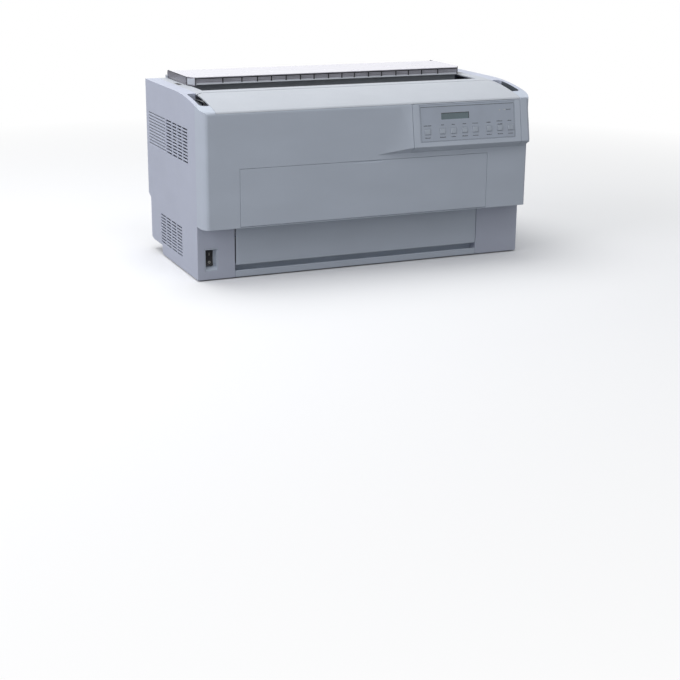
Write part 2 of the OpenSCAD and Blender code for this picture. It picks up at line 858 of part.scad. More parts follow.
// pulley of the carriage belt: toothed rim between two flanges
module belt_pulley() {
  rim = belt_w + 1;
  flange = 1.5;
  translate([0, 0, belt_z - rim / 2]) linear_extrude(rim) pulley_rim();
  for (z = [belt_z - rim / 2 - flange, belt_z + rim / 2])
    translate([0, 0, z]) cylinder(r = pulley_r + 2.5, h = flange);
}

module drive_pulley() {
  shaft_foot = 192;
  color(pale_resin) translate([-pulley_x, belt_y, 0]) {
    belt_pulley();
    translate([0, 0, shaft_foot]) cylinder(r = pulley_bore_r, h = belt_z + 1 - shaft_foot);
  }
}

module idler_pulley() {
  color(pale_resin) translate([pulley_x, belt_y, 0]) difference() {
    belt_pulley();
    translate([0, 0, belt_z - 12]) cylinder(r = pulley_bore_r + run_gap, h = 30);
  }
}

// toothed belt loop around both pulleys
module carriage_belt() {
  color(black) translate([0, belt_y, belt_z - belt_w / 2]) linear_extrude(belt_w) difference() {
    belt_loop(pulley_r + 1.2);
    belt_loop(pulley_r);
  }
}

// a flat loop around both pulleys at radius r
module belt_loop(r) {
  for (x = [-pulley_x, pulley_x]) translate([x, 0]) circle(r = r);
  translate([-pulley_x, -r]) square([2 * pulley_x, 2 * r]);
}

// ribbon cartridge: flat box across the front with an arm at each end
module ribbon_cartridge() {
  box_y0 = -148;
  box_y1 = -90;
  corner = 12;
  arm_w = 30;
  color(dark_plastic) difference() {
    union() {
      translate([0, 0, cartridge_z0]) linear_extrude(cartridge_z1 - cartridge_z0) difference() {
        translate([-frame_x, box_y0]) square([2 * frame_x, box_y1 - box_y0]);
        for (side = [-1, 1]) flat_mirrored_if(side) difference() {
          translate([frame_x - corner, box_y0 - 1]) square([corner + 1, corner + 1]);
          translate([frame_x - corner, box_y0 + corner]) circle(r = corner);
        }
      }
      for (side = [-1, 1]) mirrored_if(side)
        block([frame_x - arm_w, box_y1 - 1, cartridge_z0], [frame_x, 15, cartridge_z1]);
      for (x = [-200 : 25 : 200])
        block([x - 1.5, box_y0 + 8, cartridge_z1 - 1], [x + 1.5, box_y1 - 8, cartridge_z1 + 1.2]);
    }
    translate([knob_x, knob_y, cartridge_z0 + 4]) cylinder(r = knob_pin_r + run_gap, h = 30);
    block([-frame_x + 40, box_y1 - 3, cartridge_z0 + 3], [frame_x - 40, box_y1 + 1, cartridge_z1 - 3]);
  }
}

// inked ribbon along the print line
module ribbon_band() {
  end_x = frame_x - 15;
  t = 0.4;
  front = head_nose_y + 1.4;
  z0 = cartridge_z0 - 6;
  z1 = cartridge_z0 + 7;
  color(black) {
    block([-end_x, front, z0], [end_x, front + t, z1]);
    for (x = [-end_x, end_x - t]) block([x, front - 3.4, z0], [x + t, front + 0.1, z1]);
  }
}

// knob that takes up the ribbon's slack
module ribbon_knob() {
  notches = 12;
  color("#3c5f9e") translate([knob_x, knob_y, 0]) {
    translate([0, 0, cartridge_z1 + 1.6]) linear_extrude(10) difference() {
      circle(r = knob_r);
      for (i = [0 : notches - 1]) rotate(i * 360 / notches)
        translate([knob_r + 0.6, 0]) circle(r = 1.6, $fn = 20);
    }
    translate([0, 0, cartridge_z0 + 5]) cylinder(r = knob_pin_r, h = cartridge_z1 - cartridge_z0);
  }
}

// ---------------------------------------------------------------- covers

// top cover: curved skin with a turned-down front lip, ribs and two hinge ears
module top_cover() {
  skin_x = cover_w / 2 - 0.4;
  lip_x1 = panel_x0 - 43;
  rib_t = 2;
  ear_x = frame_x + frame_t + 1;
  ear_t = 3;
  color(top_grey) {
    intersection() {
      case_skin();
      translate([0, 0, crease_z - 2.6]) linear_extrude(big) cover_outline(-0.4, 0);
    }
    block([-skin_x + 4, front_y + 5.8, crease_z - 12], [lip_x1, front_y + 8, crease_z - 1]);
    for (x = concat([12 - skin_x, skin_x - 12], [for (i = [-2.5 : 2.5]) i * 84]))
      along_x(x - rib_t / 2, x + rib_t / 2) rib_profile();
    for (side = [-1, 1]) mirrored_if(side) {
      block([ear_x, cover_hinge_y - 6, cover_hinge_z], [ear_x + ear_t, cover_hinge_y + 4, cover_hinge_z + 6]);
      rod_x(ear_x, ear_x + ear_t, cover_hinge_y, cover_hinge_z, 4.2);
      rod_x(frame_x - 1, ear_x + 1, cover_hinge_y, cover_hinge_z, cover_pin_r);
    }
  }
}

// stiffening rib under the top cover
module rib_profile() {
  top_band(wall - 0.5, wall + 6, front_y + 16, front_y + 96);
}

// moulded pivot along the lower edge of a fold-down cover, with a pin at each end
module cover_pivot(x0, x1, y, z) {
  rod_x(x0, x1, y, z, cover_pivot_r);
  rod_x(x0 - 3, x1 + 3, y, z, pivot_pin_r);
}

// front cover that folds down over the tractors
module front_cover() {
  x0 = door_x0 + 0.5;
  x1 = door_x1 - 0.5;
  mid = (x0 + x1) / 2;
  rib_t = 2;
  rib_edge = 6;
  rib_pitch = 88;
  rib_z0 = door_hinge_z + 6;
  rib_z1 = door_z1 - 8;
  color(front_grey) difference() {
    union() {
      cover_pivot(x0, x1, door_hinge_y, door_hinge_z);
      block([x0, front_y, door_hinge_z], [x1, front_y + wall, door_z1 - 0.6]);
      for (x = [x0 + rib_edge, x1 - rib_edge - rib_t])
        block([x, front_y + 1, rib_z0], [x + rib_t, front_y + 12, rib_z1]);
      for (x = [x0 + rib_pitch : rib_pitch : x1 - rib_pitch / 2])
        block([x, front_y + 1, rib_z0], [x + rib_t, front_y + 8, rib_z1]);
      block([x0 + rib_edge, front_y + 1, rib_z1 - rib_t], [x1 - rib_edge, front_y + 9, rib_z1]);
    }
    // finger recess in the top edge
    block([mid - 30, front_y - 1, door_z1 - 3.5], [mid + 30, front_y + 1, door_z1]);
  }
}

// rear cover over the rear paper entry
module rear_cover() {
  x0 = rear_x0 + 0.5;
  x1 = rear_x1 - 0.5;
  rib_t = 2;
  rib_edge = 6;
  rib_pitch = (x1 - x0 - 2 * rib_edge - rib_t) / 6;
  color(side_grey) difference() {
    union() {
      cover_pivot(x0, x1, rear_hinge_y, rear_hinge_z);
      block([x0, back_y - wall, rear_hinge_z], [x1, back_y, rear_z1 - 0.6]);
      for (i = [0 : 6]) {
        x = x0 + rib_edge + i * rib_pitch;
        block([x, back_y - 9, rear_z0 + 12], [x + rib_t, back_y - 1, rear_z1 - 8]);
      }
    }
    // finger recess in the top edge
    block([-30, back_y - 1, rear_z1 - 5], [30, back_y + 1, rear_z1]);
  }
}

// plan outline of the separator's top plate, its front corners cut
module separator_plan(y0) {
  x1 = separator_w / 2;
  x0 = x1 - separator_cut_x;
  y2 = y0 + separator_cut_y;
  polygon([[-x0, y0], [x0, y0], [x1, y2], [x1, separator_y1], [-x1, separator_y1], [-x1, y2]]);
}

// side view of an end plate, rounded about the hinge at its rear
module separator_end() {
  top_r = 6;
  foot_z = separator_z0 + 0.3;
  back = separator_hinge_y + separator_end_r;
  polygon(concat(
    [[separator_y0 + separator_cut_y, foot_z], [separator_hinge_y - 6, foot_z]],
    [for (a = [-90 : 15 : 0]) [separator_hinge_y, separator_hinge_z]
      + separator_end_r * [cos(a), sin(a)]],
    [for (a = [0 : 15 : 90]) [back - top_r, separator_z1 - top_r] + top_r * [cos(a), sin(a)]],
    [[separator_y0 + separator_cut_y, separator_z1]]
  ));
}

// smoke-tinted separator: top plate, ribbed front band, cut corners, end plates and hinge pins
module paper_separator() {
  x1 = separator_w / 2;
  x0 = x1 - separator_cut_x;
  y2 = separator_y0 + separator_cut_y;
  plate_z = separator_z1 - separator_t;
  band_z1 = plate_z - separator_t;
  rib_t = 2;
  color(smoke, 0.6) {
    translate([0, 0, plate_z]) linear_extrude(separator_t) separator_plan(separator_y0 - 1.4);
    block([-x0, separator_y0, separator_band_z], [x0, separator_y0 + separator_t, band_z1]);
    block([-x1, separator_y1 - separator_t, plate_z - 4], [x1, separator_y1, separator_z1]);
    for (x = rib_places) {
      block([x - rib_t / 2, separator_y0 - 1, separator_band_z],
            [x + rib_t / 2, separator_y0 + 1, plate_z + 0.5]);
      block([x - rib_t / 2, separator_y0 + 0.5, plate_z - 4.5],
            [x + rib_t / 2, separator_y1 - 1, plate_z + 0.5]);
    }
    for (side = [-1, 1]) mirrored_if(side) {
      along_x(x1 - separator_t, x1) separator_end();
      // cut corner
      translate([0, 0, separator_z0 + 0.3]) linear_extrude(separator_z1 - separator_z0 - 0.3) polygon([
        [x0 - 1, separator_y0 - 1.4], [x0, separator_y0 - 1.4], [x1, y2 - 1.4],
        [x1, y2 + 1], [x1 - 1.5, y2 + 1], [x0 - 1, separator_y0 + 1.4]
      ]);
      rod_x(x1 - 1, x1 + 4, separator_hinge_y, separator_hinge_z, separator_pin_r);
    }
  }
}

// ---------------------------------------------------------------- control panel and switch

// puts a part on the panel's face: x along the printer, y up the slope, z out of the face
module on_face() {
  translate([0, front_y, crease_z]) rotate([face_tilt, 0, 0]) children();
}

// a box on the panel's face, s measured down the slope from the crease, d outwards
module face_box(x0, x1, s0, s1, d0, d1) {
  on_face() block([x0, -s1, d0], [x1, -s0, d1]);
}

// outline of a key's opening: a box on the face round the key at x, grown by gap
module key_box(x, gap, d0, d1) {
  w = key_w / 2 + gap;
  h = key_h / 2 + gap;
  face_box(x - w, x + w, key_s - h, key_s + h, d0, d1);
}

// moulded housing of the control panel, with posts that hold its board
module panel_housing() {
  t = face_t + 0.5;
  post = 4;
  back = front_y + 14;
  color(front_grey) for (x = [panel_x0 + 9, panel_x1 - 9 - post], s = [12, 70])
    face_box(x, x + post, s, s + post, -board_d, -face_t);
  color(front_grey) difference() {
    along_x(panel_x0 + 0.4, panel_x1 - 0.4) difference() {
      bulge_profile(0);
      polygon([
        [front_y + 2, crease_z - 5], [front_y - face_out + t + 0.5, lip_z + 1], [lip_y + t, lip_z - 3],
        [front_y + 2, bulge_under_z + face_t], [back, bulge_under_z + face_t], [back, crease_z - 5]
      ]);
    }
    block([panel_x0, lip_y - 1, crease_z - 3.4], [panel_x1, front_y + 20, big]);
    face_box(overlay_x0, overlay_x1, overlay_s0 + 2, overlay_s1, -overlay_d, 3);
    face_box(lcd_x0 - 3, lcd_x1 + 3, lcd_s0 - 3, lcd_s1 + 3, -8, 3);
    for (x = key_places) key_box(x, key_gap, -8, 3);
  }
}

// thin printed sheet in the housing's recess, with windows for the display and the keys
module panel_overlay() {
  edge = 0.3;
  color("#8f9ba6") difference() {
    face_box(overlay_x0 + edge, overlay_x1 - edge, overlay_s0 + 2 + edge, overlay_s1 - edge,
             -overlay_d, -0.2);
    face_box(lcd_x0, lcd_x1, lcd_s0, lcd_s1, -3, 3);
    for (x = key_places) key_box(x, key_gap, -8, 3);
  }
}

// display module, seated against the back of the overlay
module lcd_window() {
  frame = 2.8;
  color("#24484b")
    face_box(lcd_x0 - frame, lcd_x1 + frame, lcd_s0 - frame, lcd_s1 + frame, -board_d, -overlay_d);
}

// board behind the panel, with a switch under each key
module panel_board() {
  color(board_green) {
    face_box(panel_x0 + 6, panel_x1 - 6, 8, 78, -board_d - 1.6, -board_d);
    for (x = key_places) face_box(x - 3, x + 3, key_s - 3, key_s + 3, -board_d, 1 - board_d);
  }
}

// a key: cap with a softly stepped top, and the foot that keeps it behind the housing
module key_cap(i) {
  x = key_places[i];
  step = 0.4;
  color("#a9b0b9") {
    key_box(x, 1.2, key_foot_d, key_foot_d + 0.9);
    key_box(x, 0, key_foot_d + 0.5, key_top_d - step);
    key_box(x, -2 * step, key_top_d - step - 0.1, key_top_d);
  }
}

module pause_key() { key_cap(0); }
module font_key() { key_cap(1); }
module pitch_key() { key_cap(2); }
module load_key() { key_cap(3); }
module tear_off_key() { key_cap(4); }
module micro_feed_key() { key_cap(5); }
module menu_key() { key_cap(6); }
module select_key() { key_cap(7); }

// surround of the power switch, with its funnel-shaped edge
module switch_bezel() {
  mid_x = (switch_x0 + switch_x1) / 2;
  mid_z = (switch_z0 + switch_z1) / 2;
  w = switch_x1 - switch_x0 - 0.2;
  h = switch_z1 - switch_z0 - 0.2;
  half = rocker_w / 2;
  half_h = rocker_h / 2 + 1;
  mouth_y = lower_y + 0.3;
  color(front_grey) difference() {
    translate([mid_x, 0, mid_z]) union() {
      along_y(mouth_y, lower_y + 18) square([w, h], center = true);
      along_y(lower_y + wall, lower_y + wall + 2) square([w + 6, h + 4], center = true);
    }
    // the lower lip slopes inwards
    translate([mid_x, 0, 0]) along_x(-w / 2 + 2, w / 2 - 2) polygon([
      [lower_y - 1, switch_z0 + 2], [mouth_y, switch_z0 + 2], [lower_y + 8, rocker_z - half_h],
      [lower_y + 8, switch_z1 - 3], [lower_y - 1, switch_z1 - 3]
    ]);
    block([rocker_x - half - 0.5, lower_y, rocker_z - half_h],
          [rocker_x + half + 0.5, lower_y + 30, rocker_z + half_h]);
    rod_x(rocker_x - half - 1.6, rocker_x + half + 1.6, rocker_y, rocker_z, rocker_pin_r + run_gap);
  }
}

// rocker of the power switch, its two faces meeting at a shallow angle
module power_rocker() {
  half = rocker_w / 2;
  half_h = rocker_h / 2 - 0.8;
  color(black) translate([0, rocker_y, rocker_z]) {
    along_x(rocker_x - half, rocker_x + half) polygon([
      [-8.6, -half_h], [-6, 0], [-8.6, half_h], [-4, half_h], [4, 6], [4, -6], [-4, -half_h]
    ]);
    rod_x(rocker_x - half - 1.3, rocker_x + half + 1.3, 0, 0, rocker_pin_r);
  }
}

// ---------------------------------------------------------------- tractors and drive

// a stadium round the tractor's two wheels, in the tractor's own plane
module tractor_outline(r) {
  circle(r = r);
  translate([-tractor_reach, 0]) circle(r = r);
  translate([-tractor_reach, -r]) square([tractor_reach, 2 * r]);
}

// turns and shifts parts from the tractor's own plane into place
module tilted() {
  translate([0, drive_y, drive_z]) rotate([tractor_tilt, 0, 0]) children();
}

// puts a drawing of the tractor's plane on the shafts, drawn along x from x0 to x1
module on_tractor(x0, x1) {
  tilted() along_x(x0, x1) children();
}

// a tractor at x: two side plates, the pinned belt between them and the flap's hinge lugs
module tractor(x) {
  half = tractor_w / 2;
  plate = 3;
  belt_r = 11;
  pin_pitch = 9.5;
  difference() {
    union() {
      for (low = [x - half, x + half - plate]) on_tractor(low, low + plate) tractor_outline(tractor_r);
      on_tractor(x - half + 1, x + half - 1) tractor_outline(9);
      on_tractor(x - half + 4.5, x + half - 4.5) difference() {
        tractor_outline(belt_r + 1.5);
        tractor_outline(belt_r - 0.5);
      }
      on_tractor(x - half + 4, x + half - 4) difference() {
        tractor_outline(belt_r);
        tractor_outline(belt_r - 3);
      }
      // pins on the upper run
      tilted() for (i = [0 : pin_count / 2 - 1])
        translate([x, -i * pin_pitch - 2, belt_r + 1]) cylinder(r1 = 2, r2 = 1.2, h = 3.6);
      on_tractor(x + half - plate - 0.2, x + half) for (u = [-46, -12])
        translate([u, tractor_r - 2]) square([6, 7]);
    }
    rod_x(x - half - 1, x + half + 1, drive_y, drive_z, drive_side / sqrt(2) + 0.08);
    rod_x(x - half - 1, x + half + 1, support_y, support_z, support_r + run_gap);
    tilted() rod_y(-60, 4, x + half - flap_pin_x, flap_pin_z, flap_pin_r + run_gap);
  }
}

// hinged flap that holds the paper on a tractor's pins
module tractor_flap(x) {
  half = tractor_w / 2;
  t = 0.8;
  low = flap_pin_z - 1;
  high = flap_pin_z + t;
  tilted() {
    difference() {
      block([x - half - 2, -50, low], [x + half - 5.5, -4, high]);
      block([x - 2.6, -48, low - 1], [x + 2.6, -8, high + 1]);
    }
    for (u = [-39, -20]) block([x + half - 7, u, low], [x + half - 1.2, u + 7, high]);
    rod_y(-47, -5, x + half - flap_pin_x, flap_pin_z, flap_pin_r);
    // finger tab
    block([x - half - 2, -32, high - 0.2], [x - half + 1, -22, high + 2.8]);
  }
}

module left_tractor() {
  color(tractor_grey) tractor(left_tractor_x);
}

module right_tractor() {
  color(tractor_grey) tractor(right_tractor_x);
}

module left_tractor_flap() {
  color("#5a6068") tractor_flap(left_tractor_x);
}

module right_tractor_flap() {
  color("#5a6068") tractor_flap(right_tractor_x);
}

// outline of a spur gear with straight-sided teeth
module gear_outline(teeth, pitch_r) {
  m = gear_module;
  root_r = pitch_r - 1.3 * m;
  tip_r = pitch_r + 0.9 * m;
  circle(r = pitch_r - 1.15 * m);
  for (i = [0 : teeth - 1]) rotate(i * 360 / teeth) polygon([
    [root_r, -0.95 * m], [pitch_r, -0.72 * m], [tip_r, -0.36 * m],
    [tip_r, 0.36 * m], [pitch_r, 0.72 * m], [root_r, 0.95 * m]
  ]);
}

// square drive shaft with round journals and its gear outside the right frame
module tractor_drive_shaft() {
  half = drive_side / 2;
  end_x = frame_x - 3;
  gear_holes = 6;
  color(steel) {
    block([-end_x, drive_y - half, drive_z - half], [end_x, drive_y + half, drive_z + half]);
    rod_x(-frame_x - frame_t - 2, gear_x + gear_w + 1, drive_y, drive_z, journal_r);
  }
  color("#e3dfd0") difference() {
    translate([gear_x, drive_y, drive_z]) rotate([90, 0, 90]) linear_extrude(gear_w)
      gear_outline(drive_teeth, drive_teeth * gear_module / 2);
    for (i = [0 : gear_holes - 1]) rotate_about_drive(i * 360 / gear_holes)
      rod_x(gear_x - 1, gear_x + gear_w + 1, drive_y + 14, drive_z, 4);
  }
}

// turns parts about the drive shaft's axis
module rotate_about_drive(angle) {
  translate([0, drive_y, drive_z]) rotate([angle, 0, 0]) translate([0, -drive_y, -drive_z]) children();
}

module tractor_support_shaft() {
  color(steel) rod_x(-frame_x - frame_t, frame_x + frame_t, support_y, support_z, support_r);
}

// pancake stepper on two posts outside the right frame
module feed_motor() {
  x0 = frame_x + frame_t;
  plate_x = x0 + 11;
  can_x = x0 + 14;
  color("#2c2d30") difference() {
    union() {
      rod_x(can_x, can_x + 24, drive_y, pinion_z, 22);
      along_x(plate_x, can_x) translate([drive_y, pinion_z]) square([48, 48], center = true);
      for (u = [-20, 20]) rod_x(x0, plate_x + 1, drive_y + u, pinion_z - 17, 3.5);
      block([can_x + 2, drive_y - 12, pinion_z - 30], [can_x + 16, drive_y + 12, pinion_z - 20]);
    }
    rod_x(x0 + 8, can_x + 16, drive_y, pinion_z, motor_pin_r + run_gap);
  }
}

// pinion of the paper feed, on the motor's pin
module feed_pinion() {
  color(steel) {
    translate([gear_x, drive_y, pinion_z]) rotate([90, 0, 90]) linear_extrude(gear_w)
      rotate(90 + 180 / pinion_teeth) gear_outline(pinion_teeth, pinion_teeth * gear_module / 2);
    rod_x(gear_x - 1, gear_x + 24, drive_y, pinion_z, motor_pin_r);
  }
}

// ---------------------------------------------------------------- electronics, fan and fittings

// square frame of the fan, with the rotor's seat on three struts
module fan_frame() {
  half = 38;
  depth = 25;
  y0 = rear_step_y - wall - depth;
  y1 = y0 + depth;
  color("#222428") difference() {
    block([fan_x - half, y0, fan_z - half], [fan_x + half, y1, fan_z + half]);
    difference() {
      rod_y(y0 - 1, y1 + 1, fan_x, fan_z, half - 2);
      rod_y(y0, y0 + 5, fan_x, fan_z, 15);
      for (turn = [0, 60, 120]) translate([fan_x, y0 + 2, fan_z]) rotate([0, turn, 0])
        cube([80, 4, 5], center = true);
    }
    rod_y(y0 - 1, y0 + 6, fan_x, fan_z, fan_pin_r + run_gap);
    for (x = [-32, 32], z = [-32, 32]) rod_y(y0 - 1, y1 + 1, fan_x + x, fan_z + z, 2);
  }
}

// fan rotor: hub, seven pitched blades and its pin
module fan_rotor() {
  depth = 16;
  hub_r = 16;
  blades = 7;
  y0 = rear_step_y - wall - 19;
  y1 = y0 + depth;
  color("#2e3136") {
    difference() {
      rod_y(y0, y1, fan_x, fan_z, hub_r);
      rod_y(y0 + 3, y1 + 1, fan_x, fan_z, hub_r - 2.5);
    }
    rod_y(y0 - 6, y0 + 4, fan_x, fan_z, fan_pin_r);
    intersection() {
      rod_y(y0, y1, fan_x, fan_z, 34.5);
      for (i = [0 : blades - 1]) translate([fan_x, y0 + depth / 2, fan_z])
        rotate([0, i * 360 / blades, 0]) rotate([38, 0, 0]) block([hub_r - 1, -1, -11], [36, 1, 11]);
    }
  }
}

// power supply: steel tray, transformer with its winding, capacitors and a finned heat sink
module power_supply() {
  x0 = supply_x0;
  x1 = supply_x1;
  y0 = -88;
  y1 = 92;
  t = 1.5;
  z0 = foot_h + wall;
  z1 = 70;
  core_x = x0 + 22;
  fin_x = x1 - 40;
  color(steel) difference() {
    block([x0, y0, z0], [x1, y1, z1]);
    block([x0 + t, y0 + t, z0 + t], [x1 - t, y1 - t, z1 + 1]);
    for (y = [-70 : 14 : 70]) block([x0 - 1, y, 24], [x1 + 1, y + 6, 58]);
  }
  color("#8a6a3a") block([core_x, -70, z0 + 1], [core_x + 70, -10, 62]);
  color(black) {
    block([core_x - 8, -56, z0 + 1], [core_x + 78, -24, 54]);
    for (y = [10, 44]) translate([x0 + 40, y, z0 + 1]) cylinder(r = 15, h = 44);
  }
  color("#c3c7ca") for (i = [0 : 6]) block([fin_x + i * 5, -60, z0 + 1], [fin_x + 2 + i * 5, 60, 52]);
}

// main board on its posts, with chips, connectors and a row of drivers
module main_board() {
  x0 = -70;
  x1 = 282;
  y0 = -96;
  y1 = 92;
  floor_z = foot_h + wall;
  z0 = floor_z + 8;
  top = z0 + 1;
  color(board_green) {
    block([x0, y0, z0], [x1, y1, z0 + 1.6]);
    for (x = [x0 + 8, (x0 + x1) / 2, x1 - 8], y = [y0 + 8, y1 - 8])
      translate([x, y, floor_z]) cylinder(r = 3, h = z0 - floor_z + 0.2);
  }
  color(black) {
    for (x = [-40 : 44 : 136]) block([x, -20, top], [x + 26, 6, top + 3.5]);
    for (x = [-50 : 24 : 240]) block([x, 50, top], [x + 10, 54, top + 23]);
    block([180, -60, top], [212, -28, top + 4]);
  }
  color("#e8e4da") for (x = [-60, 0, 60, 120]) block([x, y0 + 4, top], [x + 42, y0 + 12, top + 11]);
}

// mains inlet with its three contact pins
module ac_inlet() {
  inner = rear_step_y - wall;
  color(black) translate([inlet_x, 0, inlet_z]) {
    difference() {
      union() {
        along_y(rear_step_y - 26, rear_step_y + 0.4) square([inlet_w, inlet_h], center = true);
        along_y(inner - 2, inner) square([inlet_w + 18, inlet_h + 4], center = true);
      }
      along_y(rear_step_y - 17, rear_step_y + 1) square([inlet_w - 4, inlet_h - 4], center = true);
    }
    for (pin = [[-7, -2], [0, 2], [7, -2]])
      along_y(rear_step_y - 18, rear_step_y - 2) translate(pin) square([2, 4], center = true);
  }
}

// interface sockets: wide parallel, small square serial bus and nine-pin serial
module interface_sockets() {
  inner = rear_step_y - wall;
  color("#9fa4a8") for (port = ports) translate([port[0], 0, ports_z]) difference() {
    union() {
      along_y(rear_step_y - 16, rear_step_y + 0.4) square([port[1], port[2]], center = true);
      along_y(inner - 2, inner) square([port[1] + 12, port[2] + 3], center = true);
    }
    along_y(rear_step_y - 8, rear_step_y + 1) square([port[1] - 3, port[2] - 4], center = true);
  }
  // their board
  color(board_green) block([-286, rear_step_y - 18, ports_z - 20], [-70, rear_step_y - 16, ports_z + 14]);
}

// rubber feet under the base
module feet() {
  color("#1f2023") for (x = [-310, 310], y = [-112, 76]) translate([x, y, 0]) cylinder(r = 13, h = foot_h);
}

// screws in the rear wall, with a slot in their heads
module case_screws() {
  head = 1.6;
  color(steel) for (x = screw_places_x, z = screw_places_z) difference() {
    union() {
      rod_y(rear_step_y - wall - 6, rear_step_y + head / 2, x, z, screw_r);
      rod_y(rear_step_y, rear_step_y + head, x, z, 2 * screw_r);
    }
    block([x - 0.5, rear_step_y + head - 0.6, z - 5], [x + 0.5, rear_step_y + head + 1, z + 5]);
  }
}

base_pan();
left_side_case();
right_side_case();
front_case();
rear_case();
rear_deck();
lower_front_panel();
left_frame();
right_frame();
front_stay();
rear_stay();
platen();
rear_guide_shaft();
front_guide_shaft();
carriage();
print_head();
carriage_motor();
drive_pulley();
idler_pulley();
carriage_belt();
ribbon_cartridge();
ribbon_band();
ribbon_knob();
top_cover();
front_cover();
paper_separator();
rear_cover();
switch_bezel();
power_rocker();
panel_housing();
panel_overlay();
lcd_window();
panel_board();
pause_key();
font_key();
pitch_key();
load_key();
tear_off_key();
micro_feed_key();
menu_key();
select_key();
left_tractor();
right_tractor();
left_tractor_flap();
right_tractor_flap();
tractor_drive_shaft();
tractor_support_shaft();
feed_motor();
feed_pinion();
paper_guide();
fan_frame();
fan_rotor();
power_supply();
main_board();
ac_inlet();
interface_sockets();
feet();
case_screws();
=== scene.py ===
"""Finishes, rounded mouldings and fine pieces of a wide dot matrix printer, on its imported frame."""
import json
import logging
import math
import random
from dataclasses import dataclass, field
from enum import Enum
from typing import Iterable, Sequence

import bmesh
import bpy
from mathutils import Matrix, Vector


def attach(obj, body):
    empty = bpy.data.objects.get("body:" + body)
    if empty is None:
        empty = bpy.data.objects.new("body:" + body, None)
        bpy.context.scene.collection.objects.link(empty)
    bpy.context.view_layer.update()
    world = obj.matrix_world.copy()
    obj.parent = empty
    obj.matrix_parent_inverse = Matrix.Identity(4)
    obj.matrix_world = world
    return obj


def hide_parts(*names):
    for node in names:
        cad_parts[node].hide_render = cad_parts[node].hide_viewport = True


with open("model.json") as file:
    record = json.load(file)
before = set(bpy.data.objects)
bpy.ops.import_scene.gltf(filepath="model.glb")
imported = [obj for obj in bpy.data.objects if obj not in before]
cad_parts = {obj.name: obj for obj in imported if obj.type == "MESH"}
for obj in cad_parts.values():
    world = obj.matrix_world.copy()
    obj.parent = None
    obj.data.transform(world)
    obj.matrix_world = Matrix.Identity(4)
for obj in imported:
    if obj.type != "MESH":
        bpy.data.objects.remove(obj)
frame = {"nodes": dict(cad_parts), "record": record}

log = logging.getLogger("printer")
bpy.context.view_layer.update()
MM = 0.001
SIDES = (-1.0, 1.0)
UP = (0.0, 0.0, 1.0)
BACKWARD = (0.0, 1.0, 0.0)
FORWARD = (0.0, -1.0, 0.0)
LEFTWARD = (-1.0, 0.0, 0.0)
RIGHTWARD = (1.0, 0.0, 0.0)
EVEN = (1.0, 1.0, 1.0)
WHITE = (1.0, 1.0, 1.0, 1.0)
# pale edge colour of the mouldings: partly wear, partly a painted highlight
EDGE_WEAR_AND_HIGHLIGHT_COLOUR = (0.85, 0.85, 0.86, 1.0)
BARE_METAL = (0.45, 0.46, 0.47, 1.0)

Socket = bpy.types.NodeSocket
Colour = tuple[float, float, float]
Place = tuple[float, float, float]
Span = tuple[float, float]


class Slot(Enum):
    """Material slots of the record that new pieces take their finish from."""

    FRONT = "front_plastic"
    TOP = "top_plastic"
    SIDE = "side_plastic"
    SMOKE = "smoke_plastic"
    SHEET = "sheet_steel"
    GROUND = "ground_steel"
    PLATEN = "platen_steel"
    CAST = "cast_alloy"
    HEAD = "head_alloy"
    MOTOR = "motor_black"
    PULLEY = "pulley_plastic"
    BELT = "belt_rubber"
    CARTRIDGE = "cartridge_plastic"
    RIBBON = "ribbon_fabric"
    KNOB = "knob_plastic"
    BLACK = "switch_black"
    OVERLAY = "overlay_film"
    LCD = "lcd_glass"
    BOARD = "circuit_board"
    KEY = "key_plastic"
    TRACTOR = "tractor_plastic"
    FLAP = "flap_plastic"
    SUPPLY = "supply_steel"
    SOCKET = "socket_metal"
    FOOT = "foot_rubber"


# ------------------------------------------------------------------ finishes


